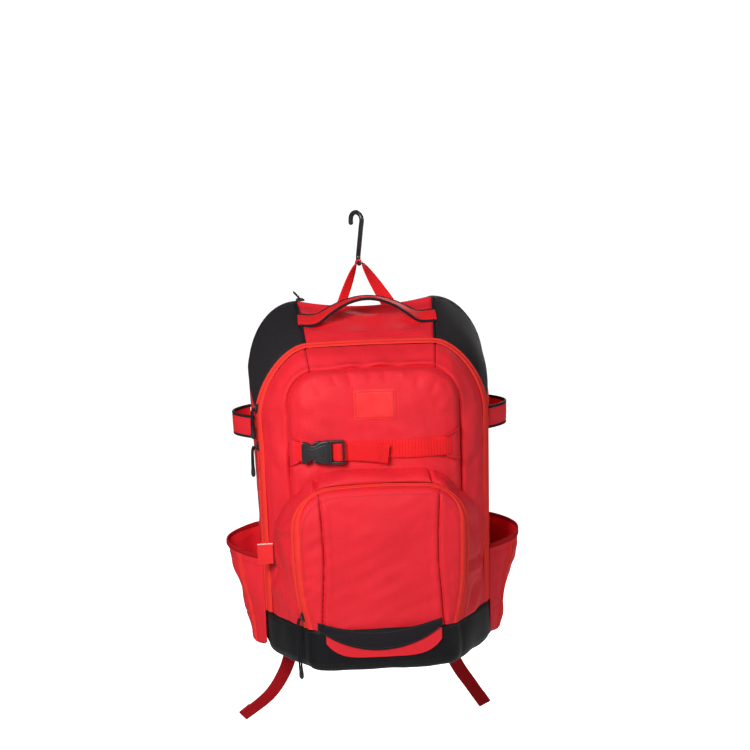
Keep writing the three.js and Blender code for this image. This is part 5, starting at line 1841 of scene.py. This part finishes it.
def cloth_from_place(mesh):
    """Cloth coordinates for a pad that has lost them: its own places across and down."""
    points = np.empty(len(mesh.vertices) * 3)
    mesh.vertices.foreach_get("co", points)
    points = points.reshape(-1, 3)
    corner = np.empty(len(mesh.loops), dtype=np.int32)
    mesh.loops.foreach_get("vertex_index", corner)
    layer = mesh.uv_layers.get("cloth") or mesh.uv_layers.new(name="cloth")
    flat = points[corner][:, [0, 2]]
    layer.data.foreach_set("uv", flat.astype(np.float32).reshape(-1))


TAIL_DOWN = (0, 0.065, 0.245, 0.48, 0.653, 0.76, 0.873, 1)
TAIL_OUT = {-1: (0, 0, 0.016, 0.05, 0.082, 0.127, 0.208, 0.376),
            1: (0, 0, 0.004, 0.016, 0.033, 0.078, 0.151, 0.233)}


def pad_end_y():
    """Depth of a shoulder strap's foot."""
    return pad_seat() + PAD_OUT * PAD_BACK[-1]


def tail_path(hand, count=90):
    """The line of a strap's tail: down from the lock, and curling outwards."""
    down = np.array(TAIL_DOWN) * TAIL_LONG
    knots = np.stack([hand * (PAD_FOOT_X + np.array(TAIL_OUT[hand]) * TAIL_LONG),
                      pad_end_y() + 2.5 + GAP + 0.9 - 0.08 * np.maximum(down - 22, 0),
                      PAD_FOOT_Z - 11 - down], axis=1)
    return path_through(knots, count)


def tail_parts(hand):
    """A strap tail: flat webbing that curls out and turns a little on its way, with its end folded
    back and sewn. Its parts come with the runs of two rows of stitches."""
    centres = tail_path(hand)
    tangent = unit(np.gradient(centres, axis=0))
    wide = unit(np.cross(tangent, BACKWARD))
    share = np.linspace(0, 1, len(centres))
    twist = (0.5 if hand < 0 else -0.35) * np.clip((share - 0.35) / 0.65, 0, 1) ** 1.5
    wide = unit(wide * np.cos(twist)[:, None] + BACKWARD * np.sin(twist)[:, None])
    deep = unit(np.cross(tangent, wide))
    end = slice(-7, None)
    fold = ribbon(centres[end] - deep[end] * 1.7, wide[end], 20, 1.7)
    across = np.linspace(-8.5, 8.5, 12)[:, None]
    rows = [(centres[k] - deep[k] * 2.6 + wide[k] * across, everywhere(-deep[-5], across * UP))
            for k in (-5, -3)]
    return [ribbon(centres, wide, 20, 1.8), fold], rows


def pad_loop(hand):
    """Webbing sewn to a shoulder strap's foot, through the lock's upper bar and back up."""
    knots = [(5.6, -452), (5.2, -468), (3.6, -477), (-0.2, -483.2), (-3.6, -477.5), (-4.6, -468),
             (-5.2, -454)]
    centres = path_through([(hand * PAD_FOOT_X, pad_end_y() + out, z) for out, z in knots], 50)
    return ribbon(centres, everywhere(ACROSS, centres), 24, 1.6)


def lower_web(hand):
    """Webbing from the lock's lower bar to the foot of the back, with a little slack."""
    start = np.array([hand * PAD_FOOT_X, pad_end_y(), PAD_FOOT_Z - 2 * GAP - 22 + 6])
    seat = back_height(np.array([128.0]), np.array([-566.0]))[0]
    end = np.array([hand * 127, seat + 1.6, -566])
    share = np.linspace(0, 1, 40)[:, None]
    centres = lerp(start, end, share) + np.array([0, 4, 0]) * np.sin(np.pi * share)
    return ribbon(centres, everywhere(ACROSS, centres), 25, 1.8)


def lock_parts(hand):
    """A ladder lock: two side rails and three bars, the middle one stepped back, with a lifted
    thumb lip at the foot."""
    seat = np.array([hand * PAD_FOOT_X, pad_end_y(), PAD_FOOT_Z - 0.4])
    rails = ((-16.5, -12.8, -22, 0, -2.5, 2.5, 0.8), (12.8, 16.5, -22, 0, -2.5, 2.5, 0.8),
             (-16, 16, -3.6, 0, -2.5, 2.5, 1.2), (-15, 15, -12.4, -9, -2.2, 1.4, 1.0),
             (-16, 16, -22, -17.6, -1.8, 3.6, 1.2), (-9, 9, -22.4, -19, 1.0, 4.6, 0.9))
    return [bar(*rail, place=lambda points: points + seat) for rail in rails]


# Zip sliders and pull cords

SLIDERS = {
    "main_slider_upper": dict(place=(-155.84, -104.0, -250.0), up=(0.1511, 0, 0.9885),
                              out=(-0.9168, -0.3741, 0.1401), hang=(-162.917, -106.888, -248.918),
                              drop=40, sway=0, cord="main_pull_upper"),
    "main_slider_lower": dict(place=(-157.17, -104.0, -302.0), up=(-0.0145, 0, 0.9999),
                              out=(-0.9564, -0.2917, -0.0139), hang=(-164.556, -106.252, -302.107),
                              drop=40, sway=0, cord="main_pull_lower"),
    "lower_slider": dict(place=(-106.65, -199.0, -520.0), up=(-0.2349, 0, 0.972),
                         out=(-0.9009, -0.3754, -0.2177), hang=(-113.607, -201.898, -521.681),
                         drop=80, sway=6, cord="base_pull"),
}
CORD_ROWS = ((0, 0.2, 0), (0.12, 0.3, 1.5), (0.4, 0.42, 2), (0.7, 0.5, 2), (0.9, 0.48, 2),
             (0.98, 0.26, 2))
CORD_WIDE = 2.6
CORD_SPREAD = 7


def slider_frame(data):
    """A slider's place, and its three ways: across, up along the zip and out of it."""
    up = unit(np.array(data["up"], float))
    out = unit(np.array(data["out"], float))
    side = unit(np.cross(up, out))
    return np.array(data["place"], float), side, up, out


def level_ways(data):
    """A slider's outward way made level, and the level way across it."""
    out = unit(np.array([*data["out"][:2], 0.0]))
    return out, np.array([-out[1], out[0], 0])


def slider_parts(data):
    """A slider: a waisted body with side flanges, a bridge over it, and a short pull ring."""
    place, side, up, out = slider_frame(data)

    def put_at(points):
        return place + (points[..., 0:1] * side + points[..., 2:3] * up + points[..., 1:2] * out)
    body = smooth_outline([(-2.4, -6.4), (2.4, -6.4), (3.9, 0.5), (3.0, 6.4), (-3.0, 6.4),
                           (-3.9, 0.5)], 48, 1)
    crown = smooth_outline([(-1.6, -4.6), (1.6, -4.6), (2.2, 4.4), (-2.2, 4.4)], 32, 1)
    parts = [slab(body, plate_levels(0.9, 2.6, 0.5), put_at),
             slab(crown, plate_levels(2.4, 3.4, 0.4), put_at)]
    angle = np.linspace(0, np.pi, 16)
    arc = np.stack([0 * angle, 3.0 + 2.6 * np.sin(angle), 4.0 * np.cos(angle)], axis=1)
    parts.append(tube(put_at(arc), 0.75, 10, side))
    return parts


def cord_points(data):
    """The cord's route: from one side of the eye down, round its free end and back up."""
    hang = np.array(data["hang"], float)
    out, side = level_ways(data)

    def at(down, across, forward, sign):
        return (hang - np.array([0, 0, down * data["drop"]])
                + side * (sign * across * CORD_SPREAD + down * data["sway"]) + out * forward)
    return ([at(*row, -1) for row in CORD_ROWS] + [at(1, 0, 2, 1)]
            + [at(*row, 1) for row in CORD_ROWS[::-1]])


def cord_piece(name, data):
    """A pull cord with its moulded grip round the foot of the loop and its knot at the eye."""
    centres = path_through(cord_points(data), 96)
    sheath = build(name + "_cord", [tube(centres, CORD_WIDE / 2, 12, (0, 0, 1))], "cord_sheath",
                   [name])
    hang = centres[0]
    foot = centres[len(centres) // 2]
    out, side = level_ways(data)
    axis = even_steps(np.stack([foot - UP * 2.4, foot + UP * 16]), 22)
    size = table(np.linspace(0, 1, 22), (0, 0.12, 0.3, 0.6, 0.85, 1), (0.5, 0.92, 1, 0.86, 0.7, 0.42))
    grip = sweep(axis, side * size[:, None], out * size[:, None], round_outline(9.6, 5.0),
                 flip=True)
    knot = capped_tube(np.linspace(hang + UP * 0.5, hang - UP * 5.5, 12) + side * 1.4, 2.3, 14, 2.2)
    ends = build(name + "_grip", [grip, knot], "black_plastic")
    return sheath


def rear_slider_parts():
    """The rear zip's slider, where the frame has it: a body, and a slanting tab with three ribs."""
    low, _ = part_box("rear_slider")
    corner = np.array([low[0] / MM - BAG_X, 0, low[2] / MM])

    def at(points):
        return points + corner
    body = smooth_outline([(4.8, 0.3), (17.2, 0.3), (17.4, 3.0), (15, 4.8), (7, 4.8), (4.6, 3)], 40, 1)
    tab = smooth_outline([(9.5, 3.2), (12, 5.4), (2.4, 15.6), (0.4, 13.4)], 48)
    parts = [slab(body, [(i, 0.6 + h) for i, h in plate_levels(0, 6.8, 0.8)], at),
             slab(tab, plate_levels(2.6, 5.2, 0.5), at)]
    for k in (0.25, 0.5, 0.75):
        x, z = lerp(np.array([10.2, 5.2]), np.array([2.2, 13.6]), k)
        rib = smooth_outline([(x - 1.6, z - 1.3), (x - 1.1, z - 1.6), (x + 1.6, z + 1.3),
                              (x + 1.1, z + 1.6)], 20, 1)
        parts.append(slab(rib, plate_levels(5.0, 5.9, 0.3), at))
    return parts


# Pieces: each operator makes one piece or a group of like pieces

class BagOperator:
    bl_options = {"REGISTER", "UNDO"}

    @classmethod
    def poll(cls, context):
        return context.scene is not None

    def execute(self, context):
        self.make()
        return {"FINISHED"}


class BAG_OT_hook(BagOperator, bpy.types.Operator):
    """Makes the dipped steel hook that the bag hangs from"""
    bl_idname = "bag.hook"
    bl_label = "Fence hook"

    def make(self):
        build("steel_hook", [capped_tube(hook_path(), HOOK_WIRE, 24, 3.0)], "hook_coat",
              ["fence_hook"], shift=0)


class BAG_OT_body(BagOperator, bpy.types.Operator):
    """Makes the sewn panels of the body: side walls, shoulders, top and front band"""
    bl_idname = "bag.body"
    bl_label = "Body panels"

    def make(self):
        thick = sizes().cloth
        for side, hand in SIDES:
            build(f"wall_{side}", shell(wall_panel(hand), thick), "red_canvas", [f"side_wall_{side}"])
            build(f"shoulder_{side}", shell(shoulder_panel(hand), thick), "black_canvas",
                  [f"side_panel_{side}"])
        build("top_cloth", shell(top_panel(), thick), "red_canvas", ["top_panel"])
        build("front_band", shell(front_band(), thick), "red_canvas", ["front_shell"])


class BAG_OT_pockets(BagOperator, bpy.types.Operator):
    """Makes the upper pocket's face, and the lower pocket with its gusset"""
    bl_idname = "bag.pockets"
    bl_label = "Front pockets"

    def make(self):
        for name, points, node in (("upper_face", upper_pocket(), "upper_pocket"),
                                   ("pocket_gusset", lower_gusset(), "lower_gusset"),
                                   ("lower_face", lower_pocket(), "lower_pocket")):
            build(name, shell(points, sizes().cloth), "red_canvas", [node])


class BAG_OT_zips(BagOperator, bpy.types.Operator):
    """Makes the main zip, the lower pocket's zip, the side pockets' zips and the rear zip"""
    bl_idname = "bag.zips"
    bl_label = "Zips"

    def make(self):
        zips = [("main_zip_tape", "main_zip_chain", main_zip_rings(), "main_zip"),
                ("lower_zip_tape", "lower_zip_chain", lower_zip_rings(), "lower_zip")]
        zips += [(f"pocket_zip_{side}", f"pocket_chain_{side}", pocket_zip_rings(hand),
                  f"side_zip_{side}") for side, hand in SIDES]
        for tape, teeth, rings, node in zips:
            build(tape, zip_parts(rings), "zip_tape", [node])
            build(teeth, [chain(rings)], "zip_chain")
        places = whole_arch(120, 80, 90)
        back, front = (arch(dict(BACK_RING, drop=121.5, y=y), LOW_Z, places)[0]
                       for y in (REAR_TAPE + 0.4, -0.6))
        rings = (back, 0.5 * (back + front), front)
        build("rear_zip_tape", zip_parts(rings), "black_binding", ["rear_zip"])
        build("rear_zip_chain", [chain(rings)], "black_plastic")


class BAG_OT_base(BagOperator, bpy.types.Operator):
    """Makes the coated base, its red inset and the curved band over it"""
    bl_idname = "bag.base"
    bl_label = "Base"

    def make(self):
        points = base_grid()
        inner = points[:-1] - grid_normals(points, loop=True)[:-1] * 1.6
        rim = part_of(np.stack([points[0], inner[0]]), True, loop=True)
        inner = part_of(inner, True, loop=True)
        build("base_tray", [part_of(points, loop=True), rim, inner], "coated_black", ["base_panel"])
        build("base_inset_cloth", shell(base_inset(), 0.9), "red_canvas", ["base_inset"])
        build("base_band_cloth", shell(smile_band(), 1.1), "black_binding", ["smile_band"])


class BAG_OT_sides(BagOperator, bpy.types.Operator):
    """Makes the bat pockets and the bat straps above them"""
    bl_idname = "bag.sides"
    bl_label = "Bat pockets and straps"

    def make(self):
        for side, hand in SIDES:
            flip = hand > 0
            pocket = pocket_grid(hand)
            build(f"bat_pocket_{side}", shell(pocket, 1.3, flip), "red_canvas",
                  [f"side_pocket_{side}"])
            normal = grid_normals(pocket, flip)
            rim = pocket[0] + normal[0] * -0.6
            build(f"pocket_rim_{side}",
                  [sweep(rim, everywhere(UP, rim), normal[0], round_outline(7, 3.0))],
                  "tail_webbing")
            strap = bat_strap_grid(hand)
            build(f"bat_band_{side}", shell(strap, 2.0, flip), "red_canvas", [f"bat_strap_{side}"])
            edges = []
            for row in (0, -1):
                line = strap[row]
                out = grid_normals(strap, flip)[row]
                edges.append(sweep(line - out * 0.9, everywhere(UP, line), out,
                                   round_outline(4.6, 3.4)))
            build(f"bat_band_binding_{side}", edges, "black_binding")


class BAG_OT_handle(BagOperator, bpy.types.Operator):
    """Makes the bound haul handle and the hanging loop"""
    bl_idname = "bag.handle"
    bl_label = "Handle and loop"

    def make(self):
        build("handle_strip", shell(handle_grid(), 3.0), "red_webbing", ["haul_handle"])
        for name, y in (("rear", -38.2), ("front", -65.8)):
            line = handle_line(y, 140) + np.array([0, 0, -0.7])
            tangent = unit(np.gradient(line, axis=0))
            wide = everywhere(BACKWARD, line)
            deep = np.cross(tangent, wide)
            build(f"handle_edge_{name}", [sweep(line, wide, deep, round_outline(3.8, 3.6))],
                  "black_binding", [f"handle_binding_{name}"])
        build("loop_webbing", [hang_loop()], "red_webbing", ["hang_loop"])


class BAG_OT_strap(BagOperator, bpy.types.Operator):
    """Makes the front strap: its wings, webbing, free end and side-release buckle"""
    bl_idname = "bag.strap"
    bl_label = "Front strap"

    def make(self):
        build("wing_left", shell(wing(-1), 0.9), "red_canvas", ["strap_wing_left"])
        build("wing_right", shell(wing(1), 0.9), "red_canvas", ["strap_wing_right"])
        build("strap_short", [flat_strap(strap_run(-108, -94, lift=1.9))], "red_webbing",
              ["front_strap_left"])
        build("strap_long", [flat_strap(strap_run(-43, 103, lift=1.4, count=120))],
              "red_webbing", ["front_strap_right"])
        run = free_end_run()
        fold = run[-12:] - np.array([0, 1.7, 0])
        build("strap_end", [flat_strap(run, 25, 1.7), flat_strap(fold, 25, 1.7)],
              "flat_webbing", ["strap_free_end"])
        build("strap_in_buckle", webbing_in_buckle(), "flat_webbing")
        build("buckle_body", buckle_parts(), "black_plastic", ["buckle_socket"])
        build("buckle_frame", latch_parts(), "black_plastic", ["buckle_latch"])


class BAG_OT_labels(BagOperator, bpy.types.Operator):
    """Makes the plain label on the upper pocket and the folded tag at the side"""
    bl_idname = "bag.labels"
    bl_label = "Label and tag"

    def make(self):
        x = np.broadcast_to(np.linspace(-LABEL_HALF, LABEL_HALF, 60)[None, :], (44, 60))
        z = LABEL_Z + LABEL_TALL * (1 - 2 * np.linspace(0, 1, 44)[:, None]) + 0 * x
        from_edge = np.minimum(LABEL_HALF - np.abs(x), LABEL_TALL - np.abs(z - LABEL_Z))
        pillow = 0.5 * np.clip(from_edge / 2.5, 0, 1) - 0.35 * np.exp(-((from_edge - 2.6) / 0.7) ** 2)
        face = patch_grid(x, z, upper_face(x, z), 0.7 + pillow)
        build("label_cloth", shell(face, 0.8), "label_satin", ["label_patch"])
        low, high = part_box("side_tag")
        y = low[1] / MM
        tag_x = np.linspace(low[0] / MM - BAG_X, high[0] / MM - BAG_X, 26)
        share = np.linspace(0, 1, 26)
        tag_z = np.linspace(high[2] / MM, low[2] / MM, 30) + 5
        grid_x, grid_z = np.meshgrid(tag_x, tag_z)
        curl = 1.6 * (1 - share[None, :]) ** 2 + 0.5 * np.sin(np.linspace(0, np.pi, 30))[:, None]
        tag = np.stack([grid_x, y + 0.4 - curl, grid_z], axis=-1)
        build("side_tag_cloth", shell(tag, 1.4), "label_satin", ["side_tag"])
        fold = tag[0] + np.array([0, 0.7, 0.1])
        profile = round_outline(2.2, 1.5)
        build("side_tag_fold",
              [sweep(fold, everywhere(BACKWARD, fold), everywhere(UP, fold), profile)],
              "pale_selvedge")


class BAG_OT_back(BagOperator, bpy.types.Operator):
    """Makes the padded back panel in its sewn channels"""
    bl_idname = "bag.back"
    bl_label = "Back panel"

    def make(self):
        outer = back_panel()
        inner = outer.copy()
        inner[..., 1] = REAR_TAPE + GAP
        parts = [part_of(outer, True), part_of(inner)]
        for outer_edge, inner_edge, turned in (
                (outer[0], inner[0], False), (outer[-1], inner[-1], True),
                (outer[:, 0], inner[:, 0], True), (outer[:, -1], inner[:, -1], False)):
            parts.append(part_of(np.stack([outer_edge, inner_edge]), turned))
        piece = build("back_padding", parts, "back_mesh", ["back_panel"], sharp=60)


class BAG_OT_shoulders(BagOperator, bpy.types.Operator):
    """Makes the padded shoulder straps, filled by cloth simulation, with their webbing"""
    bl_idname = "bag.shoulders"
    bl_label = "Shoulder straps"

    def make(self):
        for side, hand in SIDES:
            grid = pad_grid(hand)
            tube_of = with_ends(part_of(grid, loop=True), grid.shape[1], False)
            pad = build(f"shoulder_pad_{side}", [tube_of], "back_mesh", [f"shoulder_strap_{side}"])
            fill_pad(pad)
            cloth_from_place(pad.data)
            build(f"pad_binding_{side}", pad_edges(hand), "black_binding")
            build(f"lock_{side}", lock_parts(hand), "black_plastic", [f"ladder_lock_{side}"])
            build(f"anchor_webbing_{side}", [lower_web(hand), pad_loop(hand)], "tail_webbing",
                  [f"lower_webbing_{side}"])
            build(f"tail_{side}", tail_parts(hand)[0], "tail_webbing", [f"strap_tail_{side}"])


class BAG_OT_pulls(BagOperator, bpy.types.Operator):
    """Makes the zip sliders with their looped pull cords and moulded grips"""
    bl_idname = "bag.pulls"
    bl_label = "Sliders and pulls"

    def make(self):
        for name, data in SLIDERS.items():
            build(name + "_body", slider_parts(data), "black_plastic", [name])
            cord_piece(data["cord"], data)
        build("rear_slider_body", rear_slider_parts(), "black_plastic", ["rear_slider"])


class BAG_OT_stitching(BagOperator, bpy.types.Operator):
    """Makes the piping and the rows of stitches along the seams"""
    bl_idname = "bag.stitching"
    bl_label = "Piping and stitches"

    def make(self):
        piping = []
        for edge in (0.0, 1.0):
            line = body_grid([(2, 1, np.array([edge]))], 60)[:, 0]
            piping.append(tube(line + UP * 0.5, 1.5, 10, (0, 0, 1)))
        build("shoulder_piping", piping, "black_binding")
        # Dark red cords laid in the seams as painted shade
        build("seam_welts", seam_welts(), "seam_welt")
        build("body_stitches", self.body(), "red_thread")
        build("pocket_stitches", self.pockets(), "red_thread")
        build("strap_stitches", self.straps(), "red_thread")
        build("side_stitches", self.sides(), "red_thread")
        build("dark_stitches", self.dark(), "black_thread")

    def body(self):
        """Rows beside the zip and the seams of the body's red panels, and across the top."""
        band = front_band()
        top = top_panel()
        runs = [row_at(band, 4.0), row_at(band, 3.6, True), row_at(top, 4.2, True),
                row_at(top, 22.0, True), column_at(top, 4.0), column_at(top, 4.0, True)]
        z = np.linspace(-168, -200, 20)
        for hand in (-1, 1):
            wall = wall_panel(hand)
            runs += [row_at(wall, 4.0), row_at(wall, 5.5, True)]
            runs += [on_grid(band, hand * (band_seam_x(z) + away), z) for away in (-2.6, 2.6)]
        return sewn(runs)

    def pockets(self):
        """Rows round the pockets' faces, beside the upright seams, and round the label."""
        runs = [draped(*arch_inset(SEAM_RING, -335, 3.4), upper_face, 0.1),
                draped(*arch_inset(LOWER_TAPE_RING, LOW_Z + 6, 9.4), lower_face, 0.1)]
        z = np.linspace(-364, LOW_Z + 8, 120)
        for hand in (-1, 1):
            runs += [draped(hand * (lower_seam_x(z) + away), z, lower_face, 0.1)
                     for away in (-2.4, 2.4)]
        gusset = lower_gusset()
        runs += [row_at(gusset, 3.2), row_at(gusset, 6.5, True)]
        wide = LABEL_HALF - 2.4
        high = LABEL_Z + LABEL_TALL - 2.4
        low = LABEL_Z - LABEL_TALL + 2.4
        corners = [(-wide, high), (wide, high), (wide, low), (-wide, low), (-wide, high)]
        share = np.linspace(0, 1, 30)
        label = [draped(lerp(x0, x1, share), lerp(z0, z1, share),
                        lambda x, z: upper_face(x, z) - 1.1, 0.0)
                 for (x0, z0), (x1, z1) in zip(corners[:-1], corners[1:])]
        return sewn(runs) + sewn(label, 2.4)

    def straps(self):
        """Rows on the handle and its feet, the wings, the free end and the strap tails."""
        strip = handle_grid()
        turned = strip.transpose(1, 0, 2)[:, 1:-1]
        runs = [row_at(strip, 5.0), row_at(strip, 5.0, True)]
        for away in (4.0, 24.0):
            runs += [row_at(turned, away, last, flip=True) for last in (False, True)]
        for hand in (-1, 1):
            patch = wing(hand)
            runs += [row_at(patch, 4.2), row_at(patch, 4.2, True), column_at(patch, 2.6, hand < 0)]
        end = free_end_run()
        across = np.linspace(-11, 11, 20)[:, None] * UP
        for k in (-3, -10):
            runs.append((end[k] + across - BACKWARD * 2.6, everywhere(-BACKWARD, across)))
        for hand in (-1, 1):
            runs += tail_parts(hand)[1]
        return sewn(runs)

    def sides(self):
        """Rows on the bat pockets below the rim and beside the zip, and on the bat straps."""
        runs = []
        for hand in (-1, 1):
            flip = hand > 0
            pocket = pocket_grid(hand)
            strap = bat_strap_grid(hand)
            wide = run_lengths(pocket, 1)[-1]
            runs += [row_at(pocket, away, flip=flip) for away in (13.0, 16.0)]
            runs += [column_at(pocket[2:-6], share * wide, flip=flip) for share in (0.70, 0.77)]
            runs += [row_at(strap, 4.0, last, flip=flip) for last in (False, True)]
        return sewn(runs)

    def dark(self):
        """Rows in black thread: under the base's top edge, on the band, the shoulders and the
        back."""
        runs = [row_at(base_grid(), 4.5, loop=True)]
        for hand in (-1, 1):
            panel = shoulder_panel(hand)
            runs += [row_at(panel, 4.2), row_at(panel, 4.2, True), column_at(panel, 4.2, hand < 0)]
        back = back_panel()
        runs.append(row_at(back, 9.0, flip=True))
        runs += [column_at(back, 9.0, last, flip=True) for last in (False, True)]
        band = smile_band()
        return sewn(runs) + sewn([row_at(band, 2.4), row_at(band, 2.4, True)], 2.8)


FLOOR_Z = -1.25
SKY_SEEN = 0.96
SKY_LIGHT = 0.14
MM_PER_PIXEL = 1.4
LIGHTS_AIM = (0.0, -0.1, -0.4)
LIGHTS = (
    ("key_light", (-0.72, -1.3, 0.45), 0.6, 26), ("fill_light", (2.6, -1.3, 0.1), 1.2, 18),
    ("top_light", (0.2, -0.2, 2.2), 1.4, 2), ("rear_light", (1.0, 2.8, 0.5), 1.4, 55),
)


def stand(thing, right, up, back, place):
    """Puts a lamp or a camera at its place, turned to the three ways."""
    rows = np.stack([right, up, back], axis=1).tolist()
    thing.matrix_world = Matrix([[*row, p] for row, p in zip(rows, place)] + [[0, 0, 0, 1]])


class BAG_OT_stage(BagOperator, bpy.types.Operator):
    """Makes the floor, the soft studio lights and the camera"""
    bl_idname = "bag.stage"
    bl_label = "Stage"

    def make(self):
        scene = bpy.context.scene
        angle = np.linspace(0, 2 * np.pi, 97)[:-1]
        radius = np.array([0.0, 1.0, 2.5, 5.0, 9.0])
        ring = np.stack([np.cos(angle), np.sin(angle)], axis=1)
        points = radius[:, None, None] * ring[None]
        points = np.concatenate([points, np.full((*points.shape[:2], 1), FLOOR_Z)], axis=-1) / MM
        part = part_of(points, True, loop=True)
        floor_mesh = bpy.data.meshes.new("studio_floor")
        floor_mesh.from_pydata((part["points"] * MM).tolist(), [], part["quads"].tolist())
        weld(floor_mesh)
        floor = add_object("studio_floor", floor_mesh)
        pale, tree, shader = started("studio_floor", 0.9, 0.1)
        shader.inputs["Base Color"].default_value = (0.8, 0.8, 0.8, 1)
        shader.inputs["Emission Color"].default_value = (1, 1, 1, 1)
        seen = put(tree, "ShaderNodeLightPath")
        tree.links.new(seen.outputs["Is Camera Ray"], shader.inputs["Emission Strength"])
        floor_mesh.materials.append(pale)
        for name, place, size, power in LIGHTS:
            lamp = bpy.data.lights.new(name, "AREA")
            lamp.energy = power
            lamp.size = size
            back = unit(np.array(place) - np.array(LIGHTS_AIM))
            right = unit(np.cross((0, 0, 1), back))
            stand(add_object(name, lamp), right, np.cross(back, right), back, place)
        world = bpy.data.worlds.new("studio")
        scene.world = world
        world.use_nodes = True
        nodes = world.node_tree
        sky = nodes.nodes["Background"]
        path = put(nodes, "ShaderNodeLightPath")
        strength = math(nodes, "MULTIPLY_ADD", path.outputs["Is Camera Ray"], SKY_SEEN, SKY_LIGHT)
        nodes.links.new(strength, sky.inputs["Strength"])
        sky.inputs["Color"].default_value = (1, 1, 1, 1)
        scene.view_settings.view_transform = "Standard"
        self.camera(scene)

    def camera(self, scene):
        """The photograph's view: 3 m away, 3.5 degrees to the left and 10 above, rolled 1.8."""
        turn, tilt, roll = np.radians([-3.5, 10.0, 1.8])
        back = np.array([np.sin(turn) * np.cos(tilt), -np.cos(turn) * np.cos(tilt), np.sin(tilt)])
        level = np.array([np.cos(turn), np.sin(turn), 0])
        rise = np.cross(back, level)
        right = level * np.cos(roll) - rise * np.sin(roll)
        up = rise * np.cos(roll) + level * np.sin(roll)
        lens = bpy.data.cameras.new("photo_camera")
        lens.sensor_width = 36
        lens.lens = 36 * 3000 / MM_PER_PIXEL / 750
        lens.clip_end = 60
        holder = add_object("photo_camera", lens)
        stand(holder, right, up, back, (-0.16324, -2.98866, 0.29918))
        scene.camera = holder


STEPS = (BAG_OT_stage, BAG_OT_pulls, BAG_OT_hook, BAG_OT_body, BAG_OT_pockets, BAG_OT_zips,
         BAG_OT_base, BAG_OT_sides, BAG_OT_handle, BAG_OT_strap, BAG_OT_labels, BAG_OT_back,
         BAG_OT_shoulders, BAG_OT_stitching)


class BAG_PT_panel(bpy.types.Panel):
    bl_idname = "BAG_PT_panel"
    bl_label = "Bat backpack"
    bl_space_type = "VIEW_3D"
    bl_region_type = "UI"
    bl_category = "Backpack"

    def draw(self, context):
        column = self.layout.column()
        for group in (context.scene.bag_sizes, context.scene.bag_looks):
            for name in group.__annotations__:
                column.prop(group, name)
        for step in STEPS:
            column.operator(step.bl_idname)


CLASSES = (BagLooks, BagSizes, *STEPS, BAG_PT_panel)


def register():
    for item in CLASSES:
        bpy.utils.register_class(item)
    bpy.types.Scene.bag_looks = PointerProperty(type=BagLooks)
    bpy.types.Scene.bag_sizes = PointerProperty(type=BagSizes)


def unregister():
    del bpy.types.Scene.bag_sizes
    del bpy.types.Scene.bag_looks
    for item in reversed(CLASSES):
        bpy.utils.unregister_class(item)


def main():
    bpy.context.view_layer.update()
    register()
    for step in STEPS:
        group, name = step.bl_idname.split(".")
        getattr(getattr(bpy.ops, group), name)()


if __name__ == "__main__":
    main()
